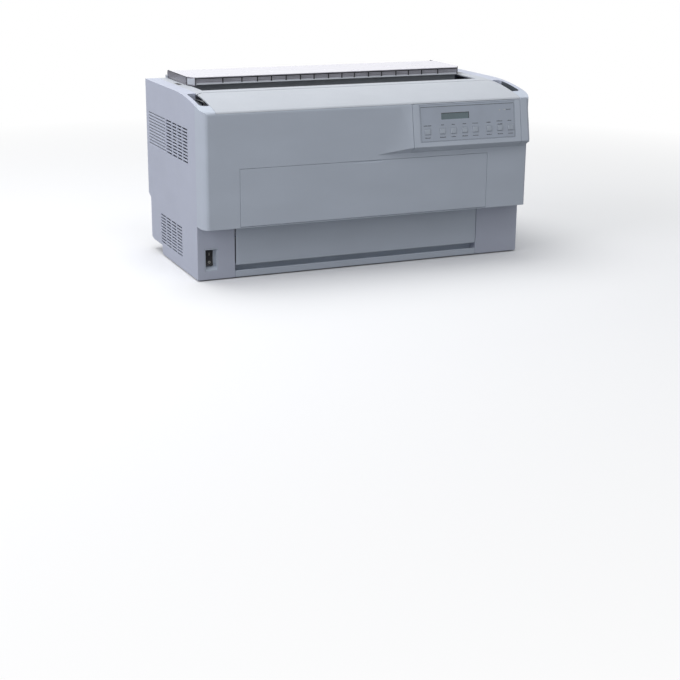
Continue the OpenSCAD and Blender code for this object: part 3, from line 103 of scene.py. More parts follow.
class Graph:
    """A small helper that adds and links shader nodes of one material or of the surround."""

    EDGE = (0.72, 0.985)  # cosines between which a bent normal counts as an edge's
    EDGE_SAMPLES = 4
    PATCHES = (160.0, 4.0, 0.7)  # scale, detail and roughness of the noise that breaks up the edge wear and painted edge highlight
    LEAST_EDGE_WEAR_AND_HIGHLIGHT = 0.25  # share of the edge wear and painted edge highlight that the noise leaves everywhere

    def __init__(self, owner: bpy.types.Material | bpy.types.World) -> None:
        """Clears the owner's node tree.

        Args:
            owner: the material or world whose nodes are built.
        """
        owner.use_nodes = True
        self.tree = owner.node_tree
        self.tree.nodes.clear()

    def add(self, kind: str, **inputs: object) -> bpy.types.Node:
        """Adds a node and sets or links its inputs.

        Args:
            kind: Blender's node type name.
            inputs: input names, with underscores for spaces, and a value or an output socket.

        Returns:
            The new node.
        """
        node = self.tree.nodes.new(kind)
        for name, value in inputs.items():
            self.put(node, name.replace("_", " "), value)
        return node

    def put(self, node: bpy.types.Node, name: str | int, value: object) -> None:
        """Sets or links one input of a node.

        Args:
            node: the node.
            name: the input's name or index.
            value: a number, a colour or an output socket.
        """
        if isinstance(value, Socket):
            self.tree.links.new(value, node.inputs[name])
        else:
            node.inputs[name].default_value = value

    def place(self) -> Socket:
        """Returns the object coordinates, which stay on the piece."""
        return self.add("ShaderNodeTexCoord").outputs["Object"]

    def normal(self) -> Socket:
        """Returns the surface normal."""
        return self.add("ShaderNodeNewGeometry").outputs["Normal"]

    def math(self, operation: str, first: object, second: object = None) -> Socket:
        """Works out one value from one or two others.

        Args:
            operation: Blender's name of the operation.
            first: number or socket.
            second: number or socket, left out where the operation takes one value.

        Returns:
            The result.
        """
        node = self.add("ShaderNodeMath")
        node.operation = operation
        self.put(node, 0, first)
        if second is not None:
            self.put(node, 1, second)
        return node.outputs[0]

    def vector(self, operation: str, first: Socket, second: Socket | None = None) -> Socket:
        """Works out a value from one or two vectors.

        Args:
            operation: Blender's name of the operation.
            first: a vector.
            second: another vector, left out where the operation takes one.

        Returns:
            The value.
        """
        node = self.add("ShaderNodeVectorMath")
        node.operation = operation
        self.put(node, 0, first)
        if second is not None:
            self.put(node, 1, second)
        return node.outputs["Value"]

    def noise(self, scale: float, detail: float = 3.0, rough: float = 0.55,
              stretch: Sequence[float] = EVEN) -> Socket:
        """Adds a noise in the piece's own space.

        Args:
            scale: cells per metre.
            detail: octaves.
            rough: how strong the fine octaves are.
            stretch: scale along each axis.

        Returns:
            The noise's value from 0 to 1.
        """
        mapping = self.add("ShaderNodeMapping", Vector=self.place(), Scale=tuple(stretch))
        return self.add("ShaderNodeTexNoise", Vector=mapping.outputs[0], Scale=scale,
                        Detail=detail, Roughness=rough).outputs["Fac"]

    def spread(self, value: Socket, low: float, high: float, inner: Span = (0.3, 0.7)) -> Socket:
        """Maps the middle of a value's range onto low to high.

        Args:
            value: the value to map.
            low: result at the range's lower end.
            high: result at its upper end.
            inner: the part of the value's range that is used.

        Returns:
            The mapped value.
        """
        return self.add("ShaderNodeMapRange", Value=value, From_Min=inner[0], From_Max=inner[1],
                        To_Min=low, To_Max=high).outputs[0]

    def blend(self, share: Socket, first: object, second: object) -> Socket:
        """Mixes two colours.

        Args:
            share: how much of the second colour shows.
            first: colour or socket.
            second: colour or socket.

        Returns:
            The mixed colour.
        """
        node = self.add("ShaderNodeMix")
        node.data_type = "RGBA"
        for name, value in ((0, share), (6, first), (7, second)):
            self.put(node, name, value)
        return node.outputs[2]

    def mottle(self, value: Socket, colour: Sequence[float], low: float, high: float) -> Socket:
        """Makes a colour that runs from darker to lighter with a value.

        Args:
            value: the value, as a noise gives it.
            colour: the middle colour.
            low: factor of the darker shade.
            high: factor of the lighter shade.

        Returns:
            The uneven colour.
        """
        return self.blend(self.spread(value, 0.0, 1.0), shade(colour, low), shade(colour, high))

    def edge_wear_and_highlight(self, base: object, below: object, share: float, radius: float = 0.0009) -> Socket:
        """Gives the edges another colour, broken up by a noise: wear that lets what lies below a skin
        through, and on the mouldings also a painted highlight.

        Args:
            base: colour of the skin.
            below: colour at the edges: what lies below a worn skin, and on the mouldings a pale
                painted highlight.
            share: how much of it shows on the most worn and highlighted spots.
            radius: how far from an edge the wear and painted highlight reach, in metres.

        Returns:
            The colour with its worn and highlighted edges.
        """
        rounded = self.add("ShaderNodeBevel", Radius=radius)
        rounded.samples = self.EDGE_SAMPLES
        facing = self.vector("DOT_PRODUCT", rounded.outputs[0], self.normal())
        edge = self.spread(facing, 1.0, 0.0, self.EDGE)
        broken = self.spread(self.noise(*self.PATCHES), self.LEAST_EDGE_WEAR_AND_HIGHLIGHT, 1.0)
        worn_and_lit = self.math("MULTIPLY", self.math("MULTIPLY", edge, broken), share)
        return self.blend(worn_and_lit, base, below)

    def bump(self, height: Socket, strength: float, depth: float) -> Socket:
        """Turns a height into a surface normal.

        Args:
            height: the height, from 0 to 1.
            strength: how much of the bump shows.
            depth: the relief's depth in metres.

        Returns:
            The bent normal.
        """
        return self.add("ShaderNodeBump", Height=height, Strength=strength,
                        Distance=depth).outputs[0]

    def mix(self, share: Socket, first: bpy.types.Node, second: bpy.types.Node) -> Socket:
        """Mixes two shaders.

        Args:
            share: how much of the second shader shows.
            first: a shader node.
            second: another shader node.

        Returns:
            The mixed shader.
        """
        node = self.add("ShaderNodeMixShader")
        for place, value in enumerate((share, first.outputs[0], second.outputs[0])):
            self.put(node, place, value)
        return node.outputs[0]

    def close(self, shader: Socket, kind: str = "ShaderNodeOutputMaterial") -> None:
        """Links a shader to the output.

        Args:
            shader: the shader.
            kind: Blender's name of the output node.
        """
        self.put(self.add(kind), 0, shader)

    def finish(self, **inputs: object) -> None:
        """Adds the surface shader and the output.

        Args:
            inputs: inputs of the shader, as in add.
        """
        self.close(self.add("ShaderNodeBsdfPrincipled", **inputs).outputs[0])


def shade(colour: Sequence[float], factor: float) -> tuple[float, float, float, float]:
    """Returns a colour made lighter or darker, with alpha 1."""
    return tuple(min(1.0, channel * factor) for channel in colour[:3]) + (1.0,)


@dataclass(frozen=True)
class Finish:
    """Base of all finishes: a name and a colour in linear light."""

    name: str
    colour: Colour

    def material(self) -> bpy.types.Material:
        """Builds the finish's material at the first call and finds it again later.

        Returns:
            The material.
        """
        known = bpy.data.materials.get(self.name)
        if known is None:
            known = bpy.data.materials.new(self.name)
            self.draw(Graph(known))
        return known

    def draw(self, graph: Graph) -> None:
        """Builds the node tree; each kind of finish has its own.

        Args:
            graph: the helper of the material to build.
        """
        raise NotImplementedError


@dataclass(frozen=True)
class Moulded(Finish):
    """Injection-moulded plastic with an eroded grain, faint flow marks, sheen, and pale edges that
    are partly wear and partly a painted highlight.
    """

    rough: float = 0.52
    grain: float = 1500.0
    relief: float = 0.00006
    unevenness: float = 0.03
    edge_wear_and_highlight: float = 0.10

    def draw(self, graph: Graph) -> None:
        """Builds the grain, the flow marks, the sheen and the pale edges, partly wear and partly a
        painted highlight.

        Args:
            graph: the helper of the material to build.
        """
        flow = graph.noise(7.0, 4.0, 0.5, (1.0, 1.0, 2.2))
        fine = graph.noise(self.grain, 2.0, 0.6)
        cloud = graph.noise(36.0, 5.0, 0.6)
        base = graph.mottle(flow, self.colour, 1.0 - self.unevenness, 1.0 + self.unevenness)
        base = graph.blend(graph.spread(fine, 0.0, 0.10), base, shade(self.colour, 0.8))
        # pale edges: partly wear, partly a painted highlight along the edges
        base = graph.edge_wear_and_highlight(base, EDGE_WEAR_AND_HIGHLIGHT_COLOUR, self.edge_wear_and_highlight)
        sheen = graph.spread(cloud, self.rough - 0.05, self.rough + 0.06)
        graph.finish(Base_Color=base, Roughness=sheen, Normal=graph.bump(fine, 0.35, self.relief))


@dataclass(frozen=True)
class Glossy(Finish):
    """Smooth plastic or lacquer with hair-fine scuffs and edges rubbed dull."""

    rough: float = 0.25
    scuffs: float = 0.12

    def draw(self, graph: Graph) -> None:
        """Builds the scuffs, a faint unevenness and the rubbed edges.

        Args:
            graph: the helper of the material to build.
        """
        wave = graph.noise(45.0, 3.0, 0.5)
        scuff = graph.noise(420.0, 4.0, 0.7, (1.0, 0.15, 1.0))
        base = graph.mottle(wave, self.colour, 0.93, 1.06)
        base = graph.edge_wear_and_highlight(base, shade(self.colour, 2.2), 0.12, 0.0006)
        rough = graph.spread(scuff, self.rough, self.rough + self.scuffs, (0.45, 0.75))
        graph.finish(Base_Color=base, Roughness=rough, Normal=graph.bump(wave, 0.15, 0.0002))


@dataclass(frozen=True)
class Metal(Finish):
    """Bare or plated metal with a drawn grain, dull patches and bright edges."""

    rough: float = 0.32
    grain: tuple[float, float, float] = (1.0, 30.0, 30.0)
    patches: float = 0.10

    def draw(self, graph: Graph) -> None:
        """Builds the drawn grain, the dull patches and the bright edges.

        Args:
            graph: the helper of the material to build.
        """
        lines = graph.noise(60.0, 4.0, 0.65, self.grain)
        dull = graph.noise(22.0, 5.0, 0.6)
        base = graph.mottle(dull, self.colour, 0.86, 1.08)
        base = graph.edge_wear_and_highlight(base, shade(self.colour, 1.35), 0.5, 0.0005)
        rough = graph.spread(lines, self.rough - 0.06, self.rough + self.patches)
        graph.finish(Base_Color=base, Metallic=1.0, Roughness=rough,
                     Normal=graph.bump(lines, 0.12, 0.0001))


@dataclass(frozen=True)
class Cast(Finish):
    """Die-cast, anodised or painted metal with a sandy skin and edges worn through."""

    rough: float = 0.5
    metal: float = 1.0

    def draw(self, graph: Graph) -> None:
        """Builds the sandy skin and the worn edges.

        Args:
            graph: the helper of the material to build.
        """
        sand = graph.noise(900.0, 3.0, 0.7)
        dull = graph.noise(60.0, 4.0, 0.6)
        base = graph.mottle(dull, self.colour, 0.85, 1.12)
        base = graph.edge_wear_and_highlight(base, BARE_METAL, 0.3, 0.0006)
        rough = graph.spread(dull, self.rough - 0.08, self.rough + 0.08)
        graph.finish(Base_Color=base, Metallic=self.metal, Roughness=rough,
                     Normal=graph.bump(sand, 0.4, 0.0001))


@dataclass(frozen=True)
class Rubber(Finish):
    """Black rubber with a matt bloom."""

    rough: float = 0.78

    def draw(self, graph: Graph) -> None:
        """Builds the bloom and a fine texture.

        Args:
            graph: the helper of the material to build.
        """
        bloom = graph.noise(80.0, 5.0, 0.65)
        skin = graph.noise(1100.0, 2.0, 0.5)
        base = graph.mottle(bloom, self.colour, 0.8, 1.5)
        rough = graph.spread(bloom, self.rough - 0.06, self.rough + 0.08)
        graph.finish(Base_Color=base, Roughness=rough, Normal=graph.bump(skin, 0.4, 0.0001))


@dataclass(frozen=True)
class SmokeTint(Finish):
    """Smoke-tinted hazy plastic, with painted shade on its end faces and a pale painted reflection on
    its upward faces.
    """

    rough: float = 0.2
    # pale colour of the upward faces: a painted reflection
    top_reflection: Colour = (0.72, 0.71, 0.78)
    # darkening of the end faces: painted shade
    end_shade: float = 0.5

    def draw(self, graph: Graph) -> None:
        """Builds the haze, the painted shade on the ends and the painted reflection on the upward
        faces.

        Args:
            graph: the helper of the material to build.
        """
        haze = graph.noise(28.0, 4.0, 0.6)
        streak = graph.noise(150.0, 3.0, 0.6, (0.06, 1.0, 1.0))
        base = graph.mottle(haze, self.colour, 0.85, 1.15)
        base = graph.blend(graph.spread(streak, 0.0, 0.35), base, shade(self.colour, 1.6))
        facing = graph.add("ShaderNodeSeparateXYZ", Vector=graph.normal()).outputs
        # painted shade: faces turned to the sides, the separator's ends, are darkened
        ends = graph.spread(graph.math("ABSOLUTE", facing["X"]), 0.0, 1.0, (0.9, 0.99))
        base = graph.blend(ends, base, shade(self.colour, self.end_shade))
        # painted reflection: faces turned upwards are made pale
        top_reflection_mask = graph.spread(facing["Z"], 0.0, 1.0, (0.75, 0.98))
        speckle = graph.noise(220.0, 4.0, 0.6)
        base = graph.blend(top_reflection_mask, base, graph.mottle(speckle, self.top_reflection, 0.95, 1.04))
        rough = graph.spread(haze, self.rough - 0.04, self.rough + 0.1)
        graph.finish(Base_Color=base, Roughness=rough, Normal=graph.bump(haze, 0.1, 0.0003))


@dataclass(frozen=True)
class Film(Finish):
    """Printed plastic film with a fine leathery emboss."""

    rough: float = 0.42

    def draw(self, graph: Graph) -> None:
        """Builds the emboss and a faint unevenness.

        Args:
            graph: the helper of the material to build.
        """
        emboss = graph.noise(1300.0, 1.0, 0.4)
        even = graph.noise(24.0, 3.0, 0.5)
        base = graph.mottle(even, self.colour, 0.96, 1.04)
        rough = graph.spread(even, self.rough - 0.04, self.rough + 0.05)
        graph.finish(Base_Color=base, Roughness=rough, Normal=graph.bump(emboss, 0.3, 0.00008))


@dataclass(frozen=True)
class Display(Finish):
    """Liquid crystal glass with a faint lattice under a clear coat."""

    rough: float = 0.12

    def draw(self, graph: Graph) -> None:
        """Builds the lattice and the glass.

        Args:
            graph: the helper of the material to build.
        """
        lattice = graph.noise(700.0, 1.0, 0.3)
        glow = graph.noise(30.0, 2.0, 0.5)
        base = graph.mottle(glow, self.colour, 0.9, 1.12)
        base = graph.blend(graph.spread(lattice, 0.0, 0.2), base, shade(self.colour, 0.6))
        rough = graph.spread(glow, self.rough, self.rough + 0.08)
        graph.finish(Base_Color=base, Roughness=rough, Coat_Weight=0.5, Coat_Roughness=0.08)


@dataclass(frozen=True)
class Weave(Finish):
    """Inked nylon ribbon or felt."""

    threads: float = 1600.0

    def draw(self, graph: Graph) -> None:
        """Builds the two thread directions and worn ink.

        Args:
            graph: the helper of the material to build.
        """
        warp = graph.noise(self.threads, 0.0, 0.2, (1.0, 1.0, 0.08))
        weft = graph.noise(self.threads, 0.0, 0.2, (0.08, 1.0, 1.0))
        worn = graph.noise(30.0, 4.0, 0.6, (1.0, 1.0, 4.0))
        height = graph.math("MAXIMUM", warp, weft)
        base = graph.mottle(worn, self.colour, 0.6, 2.2)
        graph.finish(Base_Color=base, Roughness=graph.spread(worn, 0.7, 0.9), Sheen_Weight=0.3,
                     Normal=graph.bump(height, 0.6, 0.0001))


FINISHES: dict[Slot, Finish] = {
    # front, top and side mouldings are one plastic; their three tones are painted light and shade,
    # set for how each face is lit
    Slot.FRONT: Moulded("front_moulding", (0.55, 0.605, 0.69)),
    Slot.TOP: Moulded("top_moulding", (0.515, 0.545, 0.59)),
    Slot.SIDE: Moulded("side_moulding", (0.535, 0.57, 0.675)),
    Slot.SMOKE: SmokeTint("smoke_tint", (0.43, 0.42, 0.47)),
    Slot.SHEET: Metal("zinc_sheet", (0.56, 0.58, 0.60), 0.38, EVEN),
    Slot.GROUND: Metal("ground_rod", (0.66, 0.67, 0.69), 0.22),
    Slot.PLATEN: Metal("blackened_bar", (0.16, 0.17, 0.18), 0.42),
    Slot.CAST: Cast("die_casting", (0.50, 0.52, 0.54)),
    Slot.HEAD: Cast("black_anodised", (0.045, 0.047, 0.052), 0.46, 0.6),
    Slot.MOTOR: Cast("motor_paint", (0.03, 0.03, 0.032), 0.42, 0.0),
    Slot.PULLEY: Glossy("pulley_resin", (0.66, 0.65, 0.58), 0.35),
    Slot.BELT: Rubber("belt_rubber_finish", (0.02, 0.02, 0.02)),
    Slot.CARTRIDGE: Moulded("cartridge_moulding", (0.028, 0.03, 0.033), 0.46, 1100.0, edge_wear_and_highlight=0.03),
    Slot.RIBBON: Weave("inked_weave", (0.012, 0.012, 0.016)),
    Slot.KNOB: Glossy("knob_resin", (0.05, 0.12, 0.34), 0.3),
    Slot.BLACK: Glossy("black_resin", (0.014, 0.014, 0.016), 0.28),
    Slot.OVERLAY: Film("panel_film", (0.45, 0.50, 0.585)),
    Slot.LCD: Display("display_glass", (0.115, 0.175, 0.20)),
    Slot.BOARD: Glossy("board_lacquer", (0.022, 0.11, 0.045), 0.3),
    Slot.KEY: Moulded("key_moulding", (0.47, 0.52, 0.59), 0.48, 1800.0, 0.00004),
    Slot.TRACTOR: Glossy("tractor_resin", (0.045, 0.05, 0.06), 0.38),
    Slot.FLAP: Glossy("flap_resin", (0.10, 0.115, 0.13), 0.36),
    Slot.SUPPLY: Metal("supply_sheet", (0.55, 0.56, 0.57), 0.4, EVEN),
    Slot.SOCKET: Metal("socket_shell", (0.58, 0.59, 0.6), 0.3, EVEN),
    Slot.FOOT: Rubber("foot_rubber_finish", (0.03, 0.03, 0.032)),
}
SLOT_OF: dict[str, Slot] = {
    row["node"]: Slot(row["material_slot"]) for row in frame["record"]["subparts"]
}


# ------------------------------------------------------------------ mesh helpers


SAME_POINT = 2e-6  # metres within which the frame's vertices are one
WELD = 0.02 * MM  # metres within which a rounding's corners are joined
ROUND_ANGLE = 32.0  # degrees from which edges are rounded
SHARP = 0.56  # radians, just above that angle
FLAT = 0.002  # radians below which two facets lie in one plane
FLAT_WEIGHT = 80  # how far large faces rule the shading of the rounding


def body_of(node: str) -> str:
    """Finds the body that carries a node of the frame.

    Args:
        node: the node's name.

    Returns:
        The body's name.
    """
    for body, members in frame["record"]["behaviour"]["bodies"].items():
        if node in members:
            return body
    raise KeyError(node)


def paint(piece: bpy.types.Object, slot: Slot) -> None:
    """Gives a piece or a node the material of a slot.

    Args:
        piece: the piece to paint.
        slot: the record's slot.
    """
    piece.data.materials.clear()
    piece.data.materials.append(FINISHES[slot].material())


def add_object(name: str, shape: bmesh.types.BMesh) -> bpy.types.Object:
    """Makes an object of the scene from a mesh.

    Args:
        name: the object's name.
        shape: its mesh, which is freed.

    Returns:
        The new object.
    """
    data = bpy.data.meshes.new(name)
    shape.to_mesh(data)
    shape.free()
    made = bpy.data.objects.new(name, data)
    bpy.context.scene.collection.objects.link(made)
    return made


def new_piece(name: str, shape: bmesh.types.BMesh, slot: Slot, body: str) -> bpy.types.Object:
    """Makes a dressed piece from a mesh and puts it on a body.

    Args:
        name: the piece's name.
        shape: its mesh, which is freed.
        slot: the slot whose finish it takes.
        body: the body that it rides on.

    Returns:
        The new object.
    """
    piece = add_object(name, shape)
    paint(piece, slot)
    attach(piece, body)
    log.info("%s rides on %s", name, body)
    return piece


def soften(piece: bpy.types.Object, width: float, steps: int = 2) -> None:
    """Rounds a piece's edges and keeps its flat faces flat in the light.

    Args:
        piece: the piece.
        width: width of the rounding in millimetres.
        steps: facets across a rounded edge.
    """
    rounding = piece.modifiers.new("edge_rounding", "BEVEL")
    rounding.width = width * MM
    rounding.segments = steps
    rounding.limit_method = "ANGLE"
    rounding.angle_limit = math.radians(ROUND_ANGLE)
    rounding.use_clamp_overlap = False
    rounding.loop_slide = False
    rounding.miter_outer = "MITER_ARC"
    for face in piece.data.polygons:
        face.use_smooth = True
    joining = piece.modifiers.new("joining", "WELD")
    joining.merge_threshold = WELD
    evening = piece.modifiers.new("even_normals", "WEIGHTED_NORMAL")
    evening.keep_sharp = True
    evening.weight = FLAT_WEIGHT


@dataclass(frozen=True)
class SoftCorner:
    """The casing's left front corner, whose soft turn the rounded moulding spreads more evenly."""

    half_x: float = 350.0
    start_y: float = -138.0
    front_y: float = -176.0
    long_r: float = 80.0
    nose_r: float = 6.0
    turn_y: float = 21.0
    facets: int = 8
    samples: int = 120
    slack: float = 0.01

    def runs(self) -> tuple[list[Vector], list[Vector]]:
        """Lays out the frame's turn and the softer one.

        Returns:
            The facets' corners on the frame's turn, and their places on the softer one.
        """
        nose_y = self.front_y + self.nose_r
        drop = self.start_y - nose_y
        reach = math.sqrt((self.long_r - self.nose_r) ** 2 - drop ** 2)
        lean = math.atan2(drop, reach)
        middle = self.half_x - self.long_r
        nose_x = middle + reach
        quarter = math.pi / 2
        sharp = [polar((middle, self.start_y), self.long_r, -lean * i / self.facets)
                 for i in range(self.facets + 1)]
        sharp += [polar((nose_x, nose_y), self.nose_r, -lean - (quarter - lean) * i / self.facets)
                  for i in range(1, self.facets + 1)]
        soft = [Vector((self.half_x, self.start_y))]
        for i in range(self.samples + 1):
            a = quarter * i / self.samples
            soft.append(Vector((nose_x + (self.half_x - nose_x) * math.cos(a),
                                self.front_y + self.turn_y * (1.0 - math.sin(a)))))
        return sharp, points_at(soft, shares_of(sharp))

    def place(self, spot: Vector, sharp: Sequence[Vector], soft: Sequence[Vector]) -> Vector:
        """Finds where a point near the sharper turn lies by the softer one.

        Args:
            spot: the point in plan, in millimetres.
            sharp: the facets' corners on the sharper turn.
            soft: the same corners on the softer turn.

        Returns:
            The point's new place.
        """
        best, found = math.inf, spot
        for i, (start, end) in enumerate(zip(sharp, sharp[1:])):
            along = end - start
            share = min(1.0, max(0.0, (spot - start).dot(along) / along.length_squared))
            depth = (start.lerp(end, share) - spot).length
            if depth < best:
                before, after = soft[max(i - 1, 0)], soft[min(i + 2, len(soft) - 1)]
                run = (soft[i + 1] - before).lerp(after - soft[i], share).normalized()
                best = depth
                found = soft[i].lerp(soft[i + 1], share) + Vector((run.y, -run.x)) * depth
        return found

    def spread(self, shape: bmesh.types.BMesh) -> None:
        """Moves the left corner's vertices of a copied mesh onto the softer turn.

        Args:
            shape: the mesh, in metres.
        """
        sharp, soft = self.runs()
        for vert in shape.verts:
            spot = Vector((-vert.co.x / MM, vert.co.y / MM))
            if spot.y <= self.start_y - self.slack and spot.x >= sharp[-1].x + self.slack:
                fresh = self.place(spot, sharp, soft)
                vert.co.x = -fresh.x * MM
                vert.co.y = fresh.y * MM


def polar(centre: Sequence[float], radius: float, angle: float) -> Vector:
    """Returns the point in plan at a radius and an angle from a centre."""
    return Vector((centre[0] + radius * math.cos(angle), centre[1] + radius * math.sin(angle)))


def shares_of(path: Sequence[Vector]) -> list[float]:
    """Finds how far along a path each of its points lies.

    Args:
        path: the path's points.

    Returns:
        One share from 0 to 1 for each point.
    """
    marks = [0.0]
    for first, second in zip(path, path[1:]):
        marks.append(marks[-1] + (second - first).length)
    return [mark / marks[-1] for mark in marks]


def points_at(path: Sequence[Vector], shares: Sequence[float]) -> list[Vector]:
    """Returns the points that lie at given shares of a path's length.

    Args:
        path: the path's points.
        shares: rising shares from 0 to 1.

    Returns:
        One point for each share.
    """
    marks = shares_of(path)
    points, k = [], 0
    for share in shares:
        while k < len(path) - 2 and marks[k + 1] < share:
            k += 1
        points.append(path[k].lerp(path[k + 1], (share - marks[k]) / (marks[k + 1] - marks[k])))
    return points


def clear_corners(shape: bmesh.types.BMesh, narrow: float = 35.0) -> None:
    """Joins flat facets whose shared line leaves a corner close beside an edge to be rounded.

    Args:
        shape: the mesh, before its edges are rounded.
        narrow: the widest angle, in degrees, at which such a line is in the rounding's way.
    """
    shape.normal_update()
    found = []
    for edge in shape.edges:
        if len(edge.link_faces) != 2 or edge.calc_face_angle(1.0) > FLAT:
            continue
        for vert in edge.verts:
            along = edge.other_vert(vert).co - vert.co
            beside = [other.other_vert(vert).co - vert.co for other in vert.link_edges
                      if other is not edge and len(other.link_faces) == 2
                      and other.calc_face_angle(0.0) > SHARP]
            if any(along.angle(way) < math.radians(narrow) for way in beside):
                found.append(edge)
                break
    bmesh.ops.dissolve_edges(shape, edges=found, use_verts=False)


def moulding(node: str, width: float, corner: SoftCorner | None = None,
             closed: float = 0.0) -> None:
    """Makes a piece with rounded edges that stands for a node of the frame.

    Args:
        node: the node's name.
        width: width of the rounding in millimetres.
        corner: the softer turn of its left front corner, if it has one.
        closed: edges shorter than this many millimetres are closed up before the rounding.
    """
    shape = bmesh.new()
    shape.from_mesh(frame["nodes"][node].data)
    bmesh.ops.remove_doubles(shape, verts=shape.verts, dist=SAME_POINT)
    if corner:
        corner.spread(shape)
    if closed:
        bmesh.ops.dissolve_degenerate(shape, dist=closed * MM, edges=shape.edges)
        clear_corners(shape)
    piece = new_piece(node + "_rounded", shape, SLOT_OF[node], body_of(node))
    soften(piece, width)
    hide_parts(node)


def ordered(side: float, first: float, second: float) -> Span:
    """Returns two distances from the middle as rising x values on one side."""
    return tuple(sorted((side * first, side * second)))


def circle(steps: int) -> list[tuple[float, float]]:
    """Returns the cosine and sine of evenly spaced angles round a circle."""
    angles = [math.tau * i / steps for i in range(steps)]
    return [(math.cos(a), math.sin(a)) for a in angles]


@dataclass(frozen=True)
class Row:
    """Equal boxes side by side across the printer: their middles, half width and extents in mm."""

    places: tuple[float, ...]
    half: float
    y: Span
    z: Span


@dataclass(frozen=True)
class Screws:
    """Equal screws: the middles of their seats, the way they face and their heads' radius in mm."""

    places: tuple[Place, ...]
    axis: tuple[float, float, float]
    radius: float


@dataclass(frozen=True)
class Bundle:
    """Wires side by side: one's points, each point's step to the next, and the radius, in mm."""

    points: tuple[Place, ...]
    steps: tuple[Place, ...]
    count: int
    radius: float


class Shape:
    """Collects boxes, rods, wires and screws, given in millimetres, into one mesh."""

    # A screw's washer, crown, top, height and cross, as parts of its head's radius
    WASHER, CROWN, TOP, HIGH, CROSS = 1.35, 0.82, 0.5, 0.55, (0.5, 0.1)
    # How far its washer sinks in and stands out, and the crown and the cross rise, in millimetres
    SUNK, PLATE, DOME, CROSS_FOOT, CROSS_HIGH = 0.2, 0.5, 0.3, 0.22, 0.14

    def __init__(self, turn: Matrix | None = None) -> None:
        """Starts an empty shape.

        Args:
            turn: a matrix that carries the shape's own millimetres into the printer's.
        """
        self.mesh = bmesh.new()
        self.turn = turn or Matrix.Identity(4)

    def settle(self, verts: Iterable[bmesh.types.BMVert], turn: Matrix | None = None) -> None:
        """Carries fresh vertices from the shape's millimetres into the printer's metres.

        Args:
            verts: the fresh vertices.
            turn: a turn within the shape that comes first.
        """
        place = Matrix.Scale(MM, 4) @ self.turn @ (turn or Matrix.Identity(4))
        for vert in verts:
            vert.co = place @ vert.co

    def box(self, low: Sequence[float], high: Sequence[float], turn: Matrix | None = None) -> None:
        """Adds a box.

        Args:
            low: lowest corner.
            high: highest corner.
            turn: a turn of the box.
        """
        made = bmesh.ops.create_cube(self.mesh, size=1.0)["verts"]
        for vert in made:
            vert.co = Vector([a + (c + 0.5) * (b - a) for c, a, b in zip(vert.co, low, high)])
        self.settle(made, turn)

    def rows(self, *rows: Row) -> "Shape":
        """Adds the boxes of rows.

        Args:
            rows: the rows.

        Returns:
            The shape, for chaining.
        """
        for row in rows:
            for x in row.places:
                self.box((x - row.half, row.y[0], row.z[0]), (x + row.half, row.y[1], row.z[1]))
        return self

    def rod(self, start: Sequence[float], end: Sequence[float], radius: float,
            tip: float | None = None, steps: int = 24) -> None:
        """Adds a closed round rod between two points.

        Args:
            start: one end.
            end: the other end.
            radius: radius at the start.
            tip: radius at the end, the same when left out.
            steps: sides round the rod.
        """
        first, second = Vector(start), Vector(end)
        axis = second - first
        spin = axis.to_track_quat("Z", "Y").to_matrix().to_4x4()
        made = bmesh.ops.create_cone(self.mesh, cap_ends=True, segments=steps, radius1=radius,
                                     radius2=radius if tip is None else tip, depth=axis.length,
                                     matrix=Matrix.Translation((first + second) / 2) @ spin)
        self.settle(made["verts"])

    def skin(self, loops: Sequence[Sequence[bmesh.types.BMVert]]) -> None:
        """Adds the faces between loops of vertices and carries the loops into place.

        Args:
            loops: rings of vertices with the same count each.
        """
        for low, high in zip(loops, loops[1:]):
            for k in range(len(low)):
                self.mesh.faces.new((low[k - 1], low[k], high[k], high[k - 1]))
        self.settle({vert: None for loop in loops for vert in loop})

    def ring(self, centre: Sequence[float], axis: Sequence[float], outer: float, inner: float,
             depth: float, steps: int = 32) -> None:
        """Adds a flat ring.

        Args:
            centre: the middle of its lower face.
            axis: the direction that it is thick in.
            outer: outer radius.
            inner: radius of its hole.
            depth: thickness.
            steps: sides round the ring.
        """
        way = Vector(axis).normalized()
        spin = way.to_track_quat("Z", "Y")
        loops = []
        for radius, lift in ((inner, 0.0), (outer, 0.0), (outer, depth), (inner, depth)):
            foot = Vector(centre) + way * lift
            loops.append([self.mesh.verts.new(foot + spin @ Vector((radius * c, radius * s, 0.0)))
                          for c, s in circle(steps)])
        self.skin(loops + loops[:1])

    def wire(self, points: Sequence[Sequence[float]], radius: float, steps: int = 8,
             parts: int = 6) -> None:
        """Adds a round wire that runs smoothly through points.

        Args:
            points: the points, at least two.
            radius: the wire's radius.
            steps: sides round the wire.
            parts: pieces between two points.
        """
        path = smooth_path([Vector(p) for p in points], parts)
        loops = []
        side = (path[1] - path[0]).orthogonal().normalized()
        for i, spot in enumerate(path):
            along = (path[min(i + 1, len(path) - 1)] - path[max(i - 1, 0)]).normalized()
            side = (side - along * side.dot(along)).normalized()
            up = along.cross(side)
            loops.append([self.mesh.verts.new(spot + radius * (side * c + up * s))
                          for c, s in circle(steps)])
        self.skin(loops)
        self.mesh.faces.new(list(reversed(loops[0])))
        self.mesh.faces.new(loops[-1])

    def bundles(self, *bundles: Bundle) -> "Shape":
        """Adds the wires of bundles.

        Args:
            bundles: the bundles.

        Returns:
            The shape, for chaining.
        """
        for bundle in bundles:
            for k in range(bundle.count):
                self.wire([Vector(point) + Vector(step) * k
                           for point, step in zip(bundle.points, bundle.steps)], bundle.radius)
        return self

    def screws(self, *groups: Screws) -> "Shape":
        """Adds groups of screws.

        Args:
            groups: the groups.

        Returns:
            The shape, for chaining.
        """
        for group in groups:
            for place in group.places:
                self.screw(place, group.axis, group.radius)
        return self

